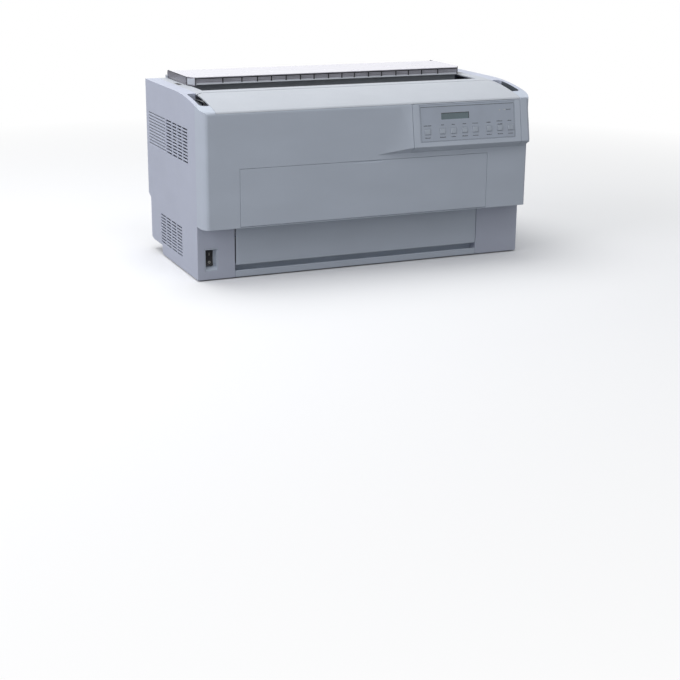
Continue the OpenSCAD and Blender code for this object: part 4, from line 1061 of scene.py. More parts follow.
    def screw(self, place: Sequence[float], axis: Sequence[float], radius: float) -> None:
        """Adds a domed screw head with a washer and a raised cross.

        Args:
            place: the middle of the head's seat.
            axis: the direction the head faces.
            radius: the head's radius.
        """
        way = Vector(axis).normalized()
        seat = Vector(place)
        crown = radius * self.CROWN
        high = radius * self.HIGH
        self.rod(seat - way * self.SUNK, seat + way * self.PLATE, radius * self.WASHER)
        self.rod(seat + way * self.PLATE, seat + way * high, radius, crown)
        self.rod(seat + way * high, seat + way * (high + self.DOME), crown, radius * self.TOP)
        spin = way.to_track_quat("Z", "Y").to_matrix().to_4x4()
        long, thin = (radius * part for part in self.CROSS)
        for angle in (45.0, 135.0):
            cross = (Matrix.Translation(seat + way * (high + self.CROSS_FOOT)) @ spin
                     @ Matrix.Rotation(math.radians(angle), 4, "Z"))
            self.box((-long, -thin, 0.0), (long, thin, self.CROSS_HIGH), cross)

    def make(self, name: str, slot: Slot, body: str = "printer", rounding: float = 0.0) -> None:
        """Turns the shape into a dressed piece on a body.

        Args:
            name: the piece's name.
            slot: the slot whose finish it takes.
            body: the body that it rides on.
            rounding: width of its edges' rounding in millimetres.
        """
        bmesh.ops.recalc_face_normals(self.mesh, faces=self.mesh.faces)
        piece = new_piece(name, self.mesh, slot, body)
        if rounding:
            soften(piece, rounding)


def smooth_path(points: Sequence[Vector], parts: int) -> list[Vector]:
    """Runs a smooth line through points.

    Args:
        points: the points.
        parts: pieces between two points.

    Returns:
        The points of the finer line.
    """
    path = []
    last = len(points) - 1
    for i in range(last):
        a, b, c, d = points[max(i - 1, 0)], points[i], points[i + 1], points[min(i + 2, last)]
        for k in range(parts):
            t = k / parts
            path.append(0.5 * (2 * b + (c - a) * t + (2 * a - 5 * b + 4 * c - d) * t * t
                               + (3 * b - a - 3 * c + d) * t * t * t))
    path.append(points[last])
    return path


def tilted(place: Sequence[float], degrees: float) -> Matrix:
    """Returns the matrix of axes that stand at a place, turned about the x axis."""
    return Matrix.Translation(place) @ Matrix.Rotation(math.radians(degrees), 4, "X")


def spaced(first: float, step: float, count: int) -> tuple[float, ...]:
    """Returns evenly spaced places."""
    return tuple(first + i * step for i in range(count))


# ------------------------------------------------------------------ sub-assemblies


@dataclass
class Assembly:
    """Base of the sub-assemblies: nodes of the frame that are rounded, and pieces of its own.

    Sizes are in millimetres and angles in degrees.
    """

    rounded: dict[str, float] = field(default_factory=dict)
    closed: dict[str, float] = field(default_factory=dict)
    corners: dict[str, SoftCorner] = field(default_factory=dict)

    def build(self) -> None:
        """Rounds the nodes, then adds the pieces."""
        for node, width in self.rounded.items():
            moulding(node, width, self.corners.get(node), self.closed.get(node, 0.0))
        self.details()

    def details(self) -> None:
        """Adds the assembly's own pieces; each assembly has its own."""


@dataclass
class Casing(Assembly):
    """The outer mouldings and the covers, with their edges rounded as the tool leaves them."""

    rounded: dict[str, float] = field(default_factory=lambda: {
        "front_case": 0.35, "top_cover": 0.5, "rear_deck": 0.6, "rear_case": 0.9, "base_pan": 0.8,
        "lower_front_panel": 0.8, "front_cover": 0.5, "rear_cover": 0.7, "left_side_case": 0.45,
        "right_side_case": 0.45, "feet": 0.6,
    })
    closed: dict[str, float] = field(default_factory=lambda: {
        "front_case": 0.5, "top_cover": 0.3, "rear_deck": 0.3, "base_pan": 0.3,
    })
    corners: dict[str, SoftCorner] = field(default_factory=lambda: {"front_case": SoftCorner()})
    pads: Row = Row((-296.0, -40.0), 9.0, (-169.9, -168.6), (317.0, 323.0))
    tongues: tuple[Row, ...] = (
        Row((-262.0, 236.0), 6.0, (-172.5, -165.0), (203.0, 205.0)),
        Row((-262.0, 236.0), 6.0, (-167.0, -165.0), (203.0, 209.0)),
    )
    clips: Row = Row((-210.0, -70.0, 70.0, 210.0), 5.0, (182.5, 188.0), (287.0, 289.0))
    # black pads in the notches beside the separator's ends: painted shadow of the notches
    notch_shadows: Row = Row((-314.5, 314.5), 4.0, (64.0, 94.0), (350.7, 351.25))
    # dark strips along the top of each side groove: painted shadow under the groove's upper edge
    grooves: tuple[Row, ...] = tuple(
        Row((-349.075, 349.075), 0.475, (58.1, 172.9), (z, z + 1.4))
        for z in spaced(285.1, -6.27, 11))
    top_arc: tuple[float, float, float] = (-10.0, 351.0, 610.54)
    grip: Span = (-139.5, -58.5)
    grip_depth: float = 13.0
    grip_parts: int = 12
    grip_floor: tuple[float, float, float] = (322.2, 332.6, 340.8)
    grip_wall: Span = (340.65, 341.1)
    lining_z: Span = (-0.3, 0.35)
    wall_high: float = 12.0
    lining_lap: float = 0.05

    def details(self) -> None:
        """Adds felt pads, latch tongues, clips, the dark linings of the finger grips, painted shadow
        strips in the side grooves and black pads that paint the shadow of the notches beside the
        separator.
        """
        Shape().rows(self.pads).make("lip_pads", Slot.RIBBON, "top_cover", 0.3)
        Shape().rows(*self.tongues).make("door_latch_tongues", Slot.FRONT, "front_cover", 0.3)
        Shape().rows(self.clips).make("rear_cover_clips", Slot.SIDE, "rear_cover", 0.3)
        # painted shadow strips in the side grooves
        Shape().rows(*self.grooves).make("groove_shadow_strips", Slot.FLAP)
        self.grip_linings()
        # black pads that paint the shadow of the notches beside the separator
        Shape().rows(self.notch_shadows).make("separator_notch_shadows", Slot.BLACK, rounding=0.2)

    def grip_linings(self) -> None:
        """Adds linings on the floors and outer walls of the finger grips, along the curved top."""
        middle_y, top_z, radius = self.top_arc
        start, end = self.grip
        inner, tip, outer = self.grip_floor
        low, high = self.lining_z
        floor = radius - self.grip_depth
        linings = Shape()
        for i in range(self.grip_parts):
            y = start + (end - start) * (i + 0.5) / self.grip_parts
            lean = math.asin((y - middle_y) / radius)
            turn = tilted((0.0, middle_y + floor * math.sin(lean),
                           top_z - radius + floor * math.cos(lean)), -math.degrees(lean))
            half = (end - start) / self.grip_parts / 2 / math.cos(lean) + self.lining_lap
            at_tip = i in (0, self.grip_parts - 1)
            for side in SIDES:
                near, far = ordered(side, inner, tip if at_tip else outer)
                linings.box((near, -half, low), (far, half, high), turn)
                if not at_tip:
                    near, far = ordered(side, *self.grip_wall)
                    linings.box((near, -half, low), (far, half, self.wall_high), turn)
        linings.make("grip_linings", Slot.FLAP)


@dataclass
class Separator(Assembly):
    """The smoke-tinted separator: a painted highlight along its lower edge, dark ribs under a painted
    shadow line, dark lines at its ends, and painted light and shade on its cut corners.
    """

    rounded: dict[str, float] = field(default_factory=lambda: {"paper_separator": 0.35})
    # pale strip along the band's lower edge: a painted highlight
    lower_edge_highlight: Row = Row((0.0,), 290.0, (-2.1, 2.0), (-1.6, 0.0))
    lower_highlight_place: Place = (0.0, 39.8, 354.6)
    lower_highlight_lean: float = 48.0
    half: float = 291.0
    ribs: Row = Row((-234, -194, -161, -131, -99, -68, -38, -6, 24, 52, 84, 114, 147, 176, 207,
                     245), 1.15, (39.75, 40.7), (354.8, 365.7))
    # black strip along the top of the band: painted shadow under the top plate's front edge
    top_shadow_line: Row = Row((0.0,), 290.5, (40.4, 41.6), (363.7, 365.7))
    groove_gap: float = 2.5
    groove_y: Span = (40.85, 41.2)
    grooves_z: tuple[Span, ...] = ((358.1, 358.65), (361.0, 361.55))
    welts: tuple[Row, ...] = (
        Row((-302.88, 302.88), 0.2, (63.0, 186.0), (365.7, 367.1)),
        Row((-302.9, 302.9), 0.7, (60.45, 61.8), (351.5, 367.0)),
        Row((-291.0, 291.0), 0.7, (39.35, 40.7), (351.5, 367.0)),
    )
    corner_run: Span = (12.0, 21.0)
    strip_place: Place = (291.0, 39.6, 0.0)
    strip_ends: Span = (2.0, 2.4)
    strip_y: Span = (-0.25, 0.3)
    strip_z: Span = (352.8, 364.2)

    def details(self) -> None:
        """Adds the band's painted lower-edge highlight, grooves, dark ribs and painted top shadow
        line, the dark lines at the ends, and the painted light and shade of the cut corners.
        """
        body = "paper_separator"
        # painted highlight along the band's lower edge
        lower_edge_highlight = Shape(tilted(self.lower_highlight_place, self.lower_highlight_lean))
        lower_edge_highlight.rows(self.lower_edge_highlight).make("separator_lower_edge_highlight", Slot.TOP, body, 0.2)
        self.grooves(body)
        # the top strip is a painted shadow under the top plate; the ribs are dark dividers
        Shape().rows(self.top_shadow_line, self.ribs).make("separator_ribs_and_top_shadow", Slot.BLACK, body, 0.15)
        Shape().rows(*self.welts).make("separator_welts", Slot.BLACK, body, 0.15)
        # painted highlight on the left cut corner and painted shade on the right one
        self.strip("separator_left_corner_highlight", Slot.TOP, body, -1.0)
        self.strip("separator_right_corner_shade", Slot.FLAP, body, 1.0)

    def grooves(self, body: str) -> None:
        """Adds the fine grooves between the ribs.

        Args:
            body: the separator's body.
        """
        lines = Shape()
        edges = (-self.half, *self.ribs.places, self.half)
        near, far = self.groove_y
        for left, right in zip(edges, edges[1:]):
            for low, high in self.grooves_z:
                lines.box((left + self.groove_gap, near, low), (right - self.groove_gap, far, high))
        lines.make("separator_grooves", Slot.FLAP, body)

    def strip(self, name: str, slot: Slot, body: str, side: float) -> None:
        """Adds a strip on the face of one cut corner: the left one takes a painted highlight and the
        right one painted shade.

        Args:
            name: the piece's name.
            slot: the slot whose finish it takes.
            body: the separator's body.
            side: -1 for the left corner and 1 for the right one.
        """
        run = Vector(self.corner_run)
        turn = math.atan2(run.y, run.x)
        x, y, z = self.strip_place
        spin = Matrix.Rotation(turn if side > 0 else math.pi - turn, 4, "Z")
        strip = Shape(Matrix.Translation((side * x, y, z)) @ spin)
        start, end = self.strip_ends
        back, front = ordered(side, *self.strip_y)
        strip.box((start, back, self.strip_z[0]), (run.length - end, front, self.strip_z[1]))
        strip.make(name, slot, body, 0.1)


@dataclass
class ControlPanel(Assembly):
    """Prints, display cells, indicators and key outlines on the sloped panel, with painted shadows
    along the film's top edge and the display's edges.
    """

    rounded: dict[str, float] = field(default_factory=lambda: {
        "panel_housing": 0.5, "pause_key": 0.3, "font_key": 0.3, "pitch_key": 0.3, "load_key": 0.3,
        "tear_off_key": 0.3, "micro_feed_key": 0.3, "menu_key": 0.3, "select_key": 0.3,
    })
    crease: Place = (0.0, -176.0, 328.0)
    tilt: float = 80.18
    film_d: float = -0.2
    ink: float = 0.05
    film: tuple[float, float, float, float] = (96.0, 305.0, 9.1, 76.4)
    keys: tuple[float, ...] = (110.0, 143.0, 167.0, 192.0, 216.0, 247.0, 272.0, 296.0)
    key_frame: Span = (8.8, 9.2)
    key_s: float = 57.6
    key_line: float = 0.35
    film_line: float = 0.45
    # dark band along the film's top edge: painted shadow
    film_top_shadow: float = 0.9
    bars: Span = (0.9, 1.9)
    bar_heights: tuple[float, ...] = (1.1, 1.1, 1.6)
    bar_gap: float = 0.35
    bar_ink: float = 0.06
    bar_foot: float = 0.5
    shortest: float = 0.8
    seed: int = 7
    labels: tuple[tuple[float, float, float], ...] = (
        (110.0, 46.0, 17.0), (110.0, 69.5, 12.0), (143.0, 45.5, 6.0), (143.0, 69.5, 13.0),
        (167.0, 45.5, 7.0), (167.0, 69.5, 11.0), (192.0, 45.5, 8.5), (192.0, 69.5, 12.5),
        (216.0, 45.5, 13.0), (216.0, 69.5, 12.5), (246.0, 45.5, 9.0), (247.0, 69.5, 12.0),
        (271.0, 44.0, 13.5), (272.0, 50.0, 11.5), (272.0, 69.5, 12.0), (294.0, 44.0, 9.0),
        (296.0, 69.5, 11.0), (293.0, 22.0, 11.0),
    )
    cell_lines: tuple[float, ...] = (24.2, 29.1)
    cell_columns: tuple[float, ...] = spaced(144.4, 2.78, 20)
    cell_parts: tuple[float, ...] = (0.0, 1.0, 2.0, 3.0)
    cell_size: Span = (2.1, 0.72)
    window: tuple[float, float, float, float] = (141.0, 203.0, 22.0, 35.0)
    window_edge: Span = (1.4, 1.3)
    window_d: float = -0.85
    cell_d: float = -0.74
    edge_d: float = -0.7
    lamps: tuple[float, ...] = (272.0, 283.0)
    lamp_s: float = 22.0
    lamp_d: Span = (-0.5, 0.15)
    lamp_r: Span = (1.3, 1.0)
    chips: Row = Row((127.0, 187.0, 257.0), 7.0, (-38.0, -30.0), (-11.6, -9.0))
    plug: Row = Row((219.0,), 13.0, (-74.0, -62.0), (-10.2, -9.0))

    def face(self) -> Shape:
        """Returns an empty shape whose axes run across, up the slope and out of the face."""
        return Shape(tilted(self.crease, self.tilt))

    def plate(self, shape: Shape, x: Span, s: Span, low: float, high: float) -> None:
        """Adds a flat box on the face.

        Args:
            shape: the shape it is added to.
            x: its extent across.
            s: its extent down the slope from the crease.
            low: its underside above the face.
            high: its top above the face.
        """
        shape.box((x[0], -s[1], low), (x[1], -s[0], high))

    def border(self, shape: Shape, x: Span, s: Span, line: float) -> None:
        """Adds a thin printed border on the film.

        Args:
            shape: the shape it is added to.
            x: its extent across.
            s: its extent down the slope.
            line: the width of its line.
        """
        for across, down in ((x, (s[0], s[0] + line)), (x, (s[1] - line, s[1])),
                             ((x[0], x[0] + line), s), ((x[1] - line, x[1]), s)):
            self.plate(shape, across, down, self.film_d - self.ink, self.film_d + self.ink)

    def details(self) -> None:
        """Adds the prints, the display's cells, the indicators and the board's fittings."""
        self.legends()
        self.outlines()
        self.display()
        self.indicators()
        self.face().rows(self.chips).make("panel_chips", Slot.BLACK, rounding=0.2)
        self.face().rows(self.plug).make("panel_cable_plug", Slot.PULLEY, rounding=0.3)

    def legends(self) -> None:
        """Adds plain bars where the keys' legends are."""
        chance = random.Random(self.seed)
        shape = self.face()
        for middle, s, width in self.labels:
            x, end = middle - width / 2, middle + width / 2
            while x < end - self.shortest:
                length = min(chance.uniform(*self.bars), end - x)
                high = chance.choice(self.bar_heights)
                foot = s + self.bar_foot
                self.plate(shape, (x, x + length), (foot - high, foot),
                           self.film_d - self.ink, self.film_d + self.bar_ink)
                x += length + self.bar_gap
        shape.make("legend_bars", Slot.BLACK)

    def outlines(self) -> None:
        """Adds light outlines round the keys, the dark border of the film and a painted shadow along
        its top edge.
        """
        lines = self.face()
        half_x, half_s = self.key_frame
        for x in self.keys:
            self.border(lines, (x - half_x, x + half_x),
                        (self.key_s - half_s, self.key_s + half_s), self.key_line)
        lines.make("key_outlines", Slot.TOP)
        edge = self.face()
        x, s = self.film[:2], self.film[2:]
        self.border(edge, x, s, self.film_line)
        # painted shadow: a dark band along the film's top edge, under the recess edge
        self.plate(edge, x, (s[0], s[0] + self.film_top_shadow), self.film_d - self.ink, 0.0)
        edge.make("film_border_and_shadow", Slot.FLAP)

    def display(self) -> None:
        """Adds two lines of dim character cells and a painted shadow along the display window's top
        and right edges.
        """
        cells = self.face()
        wide, high = self.cell_size
        for line in self.cell_lines:
            for x in self.cell_columns:
                for part in self.cell_parts:
                    s = line + part
                    self.plate(cells, (x, x + wide), (s, s + high), self.window_d, self.cell_d)
        cells.make("display_cells", Slot.LCD)
        left, right, top, foot = self.window
        side, head = self.window_edge
        # painted shadow along the top and right edges of the display window
        edge = self.face()
        for x, s in (((left, right), (top, top + head)), ((right - side, right), (top, foot))):
            self.plate(edge, x, s, self.window_d, self.edge_d)
        edge.make("display_edge_shadow", Slot.BLACK)

    def indicators(self) -> None:
        """Adds the two indicator lamps in the film."""
        lamps = self.face()
        low, high = self.lamp_d
        for x in self.lamps:
            lamps.rod((x, -self.lamp_s, low), (x, -self.lamp_s, high), *self.lamp_r)
        lamps.make("indicator_lamps", Slot.PULLEY)


@dataclass
class PowerSwitch(Assembly):
    """The rocker with its two marks, in its funnel-shaped surround."""

    rounded: dict[str, float] = field(default_factory=lambda: {
        "switch_bezel": 0.4, "power_rocker": 0.5,
    })
    middle: Place = (-325.5, -129.0, 44.0)
    lean: float = 10.03
    bar: Row = Row((0.0,), 0.4, (5.4, 10.0), (-0.05, 0.12))
    ring_place: Place = (0.0, -8.0, -0.05)
    ring_size: tuple[float, float, float] = (2.3, 1.6, 0.17)

    def details(self) -> None:
        """Adds the bar and the ring on the rocker's two faces."""
        upper = Shape(tilted(self.middle, 90.0 + self.lean))
        upper.rows(self.bar).make("rocker_bar", Slot.PULLEY, "power_rocker")
        lower = Shape(tilted(self.middle, 90.0 - self.lean))
        lower.ring(self.ring_place, UP, *self.ring_size)
        lower.make("rocker_ring", Slot.PULLEY, "power_rocker")


@dataclass
class RearPanel(Assembly):
    """Contacts, catches, screws and wires of the sockets on the rear wall."""

    rounded: dict[str, float] = field(default_factory=lambda: {
        "ac_inlet": 0.5, "interface_sockets": 0.35, "case_screws": 0.25, "fan_frame": 0.5,
        "fan_rotor": 0.3,
    })
    tongues: tuple[Row, ...] = (
        Row((-240.0,), 27.0, (166.5, 173.4), (67.8, 72.2)),
        Row((-165.0,), 3.2, (166.5, 173.2), (68.0, 72.6)),
        Row((-110.0,), 24.0, (166.5, 168.2), (66.0, 74.0)),
    )
    leaves: tuple[Row, ...] = (
        Row(spaced(-258.4, 2.16, 18), 0.5, (167.0, 172.8), (67.63, 67.87)),
        Row(spaced(-258.4, 2.16, 18), 0.5, (167.0, 172.8), (72.13, 72.37)),
    )
    pins: tuple[tuple[float, tuple[float, ...]], ...] = (
        (71.4, spaced(-126.6, 2.76, 13)), (68.6, spaced(-125.22, 2.76, 12)),
    )
    pin_y: Span = (167.0, 172.4)
    pin_r: Span = (0.5, 0.4)
    catches: tuple[float, ...] = (-277.0, -203.0)
    catch_loop: tuple[Span, ...] = ((174.0, 65.0), (176.3, 65.0), (176.3, 75.0), (174.0, 75.0))
    catch_r: float = 0.6
    posts: tuple[float, ...] = (-141.5, -78.5)
    post_y: Span = (174.5, 176.6)
    post_z: float = 70.0
    post_r: float = 2.6
    screws: tuple[Screws, ...] = (
        Screws(((214.0, 175.0, 62.0),), BACKWARD, 2.6),
        Screws(((230.0, 175.0, 62.0), (270.0, 175.0, 62.0)), BACKWARD, 2.0),
    )
    wires: tuple[Bundle, ...] = (
        Bundle(((244.0, 149.0, 62.0), (234.0, 135.0, 50.0), (184.0, 120.0, 32.0),
                (54.0, 122.0, 30.0), (-66.0, 112.0, 30.0), (-110.0, 94.0, 32.0)),
               ((12.0, 0.0, 0.0),) * 5 + ((0.0, 0.0, 0.0),), 2, 1.3),
        Bundle(((250.0, 149.0, 65.0), (240.0, 135.0, 50.0), (190.0, 120.0, 32.0),
                (60.0, 122.0, 30.0), (-60.0, 112.0, 30.0), (-110.0, 91.0, 32.0)),
               ((0.0, 0.0, 0.0),) * 6, 1, 1.3),
    )

    def details(self) -> None:
        """Adds the sockets' tongues, contacts, catches and screws, and the inlet's wires."""
        Shape().rows(*self.tongues).make("socket_tongues", Slot.BLACK, rounding=0.3)
        contacts = Shape().rows(*self.leaves)
        near, far = self.pin_y
        for z, places in self.pins:
            for x in places:
                contacts.rod((x, near, z), (x, far, z), *self.pin_r, steps=10)
        contacts.make("socket_contacts", Slot.GROUND)
        catches = Shape()
        for x in self.catches:
            catches.wire([(x, y, z) for y, z in self.catch_loop], self.catch_r, parts=4)
        catches.make("socket_catches", Slot.SOCKET)
        posts = Shape()
        near, far = self.post_y
        for x in self.posts:
            posts.rod((x, near, self.post_z), (x, far, self.post_z), self.post_r, steps=6)
        posts.screws(*self.screws).make("socket_posts_and_screws", Slot.GROUND)
        Shape().bundles(*self.wires).make("mains_wires", Slot.MOTOR)


@dataclass
class Mechanism(Assembly):
    """Fittings of the print carriage, the ribbon cartridge, the shafts and the side frames."""

    rounded: dict[str, float] = field(default_factory=lambda: {
        "left_frame": 0.3, "right_frame": 0.3, "front_stay": 0.3, "rear_stay": 0.3, "platen": 0.8,
        "paper_guide": 0.3, "carriage": 0.8, "print_head": 0.5, "ribbon_cartridge": 0.8,
        "ribbon_knob": 0.4, "carriage_motor": 0.6, "drive_pulley": 0.25, "idler_pulley": 0.25,
        "rear_guide_shaft": 0.6, "front_guide_shaft": 0.6, "tractor_support_shaft": 0.4,
    })
    frame_screws: tuple[Screws, ...] = (
        Screws(((-304.0, -41.0, 110.0), (-304.0, 96.0, 205.0), (-304.0, 128.0, 205.0),
                (-304.0, 32.0, 240.0), (-304.0, 32.0, 268.0)), LEFTWARD, 3.2),
        Screws(((304.0, -41.0, 110.0), (304.0, 96.0, 205.0), (304.0, 128.0, 205.0),
                (304.0, 32.0, 240.0), (304.0, 32.0, 268.0)), RIGHTWARD, 3.2),
        Screws(((-290.0, -80.0, 8.5), (-290.0, 70.0, 8.5), (290.0, -80.0, 8.5),
                (290.0, 70.0, 8.5)), UP, 2.6),
    )
    shafts: tuple[tuple[float, float, float], ...] = ((-4.0, 236.0, 8.0), (-66.0, 236.0, 6.0))
    clip_x: float = 304.1
    clip_size: tuple[float, float, float] = (2.4, -0.8, 0.9)
    bush_x: float = 47.9
    bush_size: tuple[float, float, float] = (2.6, 0.15, 1.1)
    carriage_screws: tuple[Screws, ...] = (
        Screws(((-40.0, -56.0, 246.0), (-40.0, -22.0, 246.0), (40.0, -56.0, 246.0),
                (40.0, -22.0, 246.0)), UP, 2.4),
        Screws(((0.0, -51.6, 222.0),), FORWARD, 2.2),
    )
    plug: tuple[Row, ...] = (
        Row((0.0,), 22.0, (-58.0, -50.0), (252.0, 252.5)),
        Row((0.0,), 22.0, (-58.0, -50.0), (253.6, 254.1)),
        Row((0.0,), 24.0, (-62.0, -56.5), (249.5, 257.0)),
    )
    levers: Row = Row((-38.6, 38.6), 2.0, (-46.0, -22.0), (258.0, 261.0))
    lever_pivot: tuple[float, float, float] = (2.6, -34.0, 259.5)
    lever_pivot_x: Span = (36.0, 41.0)
    needle_x: tuple[float, ...] = (-0.7, 0.7)
    needle_y: Span = (16.8, 17.25)
    needle_z: tuple[float, ...] = spaced(266.0, 1.25, 12)
    needle_r: float = 0.28
    lid_lines: tuple[Row, ...] = (
        Row((0.0,), 286.0, (-140.0, -138.8), (291.9, 292.5)),
        Row((0.0,), 286.0, (-100.0, -98.8), (291.9, 292.5)),
    )
    lid_ribs: tuple[Row, ...] = tuple(
        Row((-285.0, 285.0), 9.0, (y, y + 1.6), (291.9, 293.0)) for y in spaced(-60.0, 5.0, 5))
    arrow: Place = (-150.0, -118.0, 292.3)
    arrow_r: float = 17.0
    arrow_angles: tuple[float, ...] = spaced(200.0, 7.0, 16)
    arrow_part: float = 7.7
    arrow_line: float = 0.45

    def details(self) -> None:
        """Adds screws, clips and bushes, the head's plug and levers, and the lid's fittings."""
        Shape().screws(*self.frame_screws).make("frame_screws", Slot.GROUND)
        self.rings_on_shafts("shaft_clips", Slot.MOTOR, "printer", self.clip_x, self.clip_size)
        self.rings_on_shafts("carriage_bushes", Slot.PULLEY, "carriage", self.bush_x,
                             self.bush_size)
        Shape().screws(*self.carriage_screws).make("carriage_screws", Slot.GROUND, "carriage")
        self.head_fittings()
        self.cartridge_fittings()

    def rings_on_shafts(self, name: str, slot: Slot, body: str, x: float,
                        size: tuple[float, float, float]) -> None:
        """Adds a ring on both ends of both guide shafts.

        Args:
            name: the piece's name.
            slot: the slot whose finish it takes.
            body: the body that it rides on.
            x: how far from the middle the rings stand.
            size: outer and inner radius beyond the shaft's own, and thickness.
        """
        outer, inner, depth = size
        rings = Shape()
        for axis in (LEFTWARD, RIGHTWARD):
            for y, z, radius in self.shafts:
                rings.ring((axis[0] * x, y, z), axis, radius + outer, radius + inner, depth)
        rings.make(name, slot, body)

    def head_fittings(self) -> None:
        """Adds the head's cable plug, levers and needle tips."""
        Shape().rows(*self.plug).make("head_cable_plug", Slot.PULLEY, "carriage", 0.3)
        levers = Shape().rows(self.levers)
        radius, y, z = self.lever_pivot
        near, far = self.lever_pivot_x
        for side in SIDES:
            levers.rod((side * near, y, z), (side * far, y, z), radius)
        levers.make("head_levers", Slot.FLAP, "carriage", 0.4)
        tips = Shape()
        near, far = self.needle_y
        for z in self.needle_z:
            for x in self.needle_x:
                tips.rod((x, near, z), (x, far, z), self.needle_r, steps=8)
        tips.make("head_needle_tips", Slot.GROUND, "carriage")

    def cartridge_fittings(self) -> None:
        """Adds the lines and ribs of the cartridge's lid and the knob's turning arrow."""
        lid = Shape().rows(*self.lid_lines, *self.lid_ribs)
        lid.make("cartridge_lid_ribs", Slot.CARTRIDGE, rounding=0.2)
        arrow = Shape()
        for angle in self.arrow_angles:
            ends = (polar(self.arrow, self.arrow_r, math.radians(a))
                    for a in (angle, angle + self.arrow_part))
            arrow.wire([(end.x, end.y, self.arrow[2]) for end in ends], self.arrow_line, steps=6,
                       parts=1)
        arrow.make("knob_turning_mark", Slot.PULLEY)


@dataclass
class Feed(Assembly):
    """Tractors, drive shaft and feed motor with their small fittings."""

    rounded: dict[str, float] = field(default_factory=lambda: {
        "left_tractor": 0.35, "right_tractor": 0.35, "left_tractor_flap": 0.25,
        "right_tractor_flap": 0.25, "tractor_drive_shaft": 0.2, "feed_motor": 0.5,
        "feed_pinion": 0.15,
    })
    drive: Place = (0.0, -92.0, 164.0)
    tilt: float = 20.0
    tractors: tuple[tuple[str, float], ...] = (("left_tractor", -206.0), ("right_tractor", 178.0))
    half: float = 12.0
    pivot: Span = (-36.0, -2.0)
    screw_u: tuple[float, ...] = (-50.0, -13.0)
    screw_v: float = 6.4
    screw_r: float = 1.6
    screw_sunk: float = 0.1
    lever_r: float = 5.2
    lever_x: tuple[float, float, float] = (-2.6, -0.2, 0.5)
    lever_u: Span = (-48.0, -34.0)
    lever_v: Span = (-4.2, 0.2)
    motor_screws: Screws = Screws(((315.0, -111.0, 117.0), (315.0, -73.0, 117.0)), LEFTWARD, 2.0)
    motor_wires: Bundle = Bundle(
        ((326.0, -98.0, 103.0), (326.0, -86.0, 80.0), (322.0, -52.0, 40.0), (310.0, -20.0, 20.0),
         (300.0, 0.0, 14.0)),
        ((0.0, 4.0, 0.0), (0.0, 3.0, 0.0)) + ((0.0, 0.0, 2.2),) * 3, 4, 0.9)

    def details(self) -> None:
        """Adds each tractor's lock lever and screws, and the motor's screws and wires."""
        for name, x in self.tractors:
            self.tractor_fittings(name, x)
        Shape().screws(self.motor_screws).make("feed_motor_screws", Slot.GROUND)
        Shape().bundles(self.motor_wires).make("feed_motor_wires", Slot.KNOB)

    def tractor_fittings(self, name: str, x: float) -> None:
        """Adds a tractor's lock lever and the screws of its side plates.

        Args:
            name: the tractor's body.
            x: its middle across the printer.
        """
        own = tilted(self.drive, self.tilt)
        left, right = x - self.half, x + self.half
        out, near, sunk = (left + step for step in self.lever_x)
        lever = Shape(own)
        lever.rod((out, *self.pivot), (sunk, *self.pivot), self.lever_r)
        lever.box((out, self.lever_u[0], self.lever_v[0]), (near, self.lever_u[1], self.lever_v[1]))
        lever.make(name + "_lock_lever", Slot.KNOB, name, 0.5)
        screws = Shape(own)
        for u in self.screw_u:
            screws.screw((left + self.screw_sunk, u, self.screw_v), LEFTWARD, self.screw_r)
            screws.screw((right - self.screw_sunk, u, -self.screw_v), RIGHTWARD, self.screw_r)
        screws.make(name + "_screws", Slot.GROUND, name)


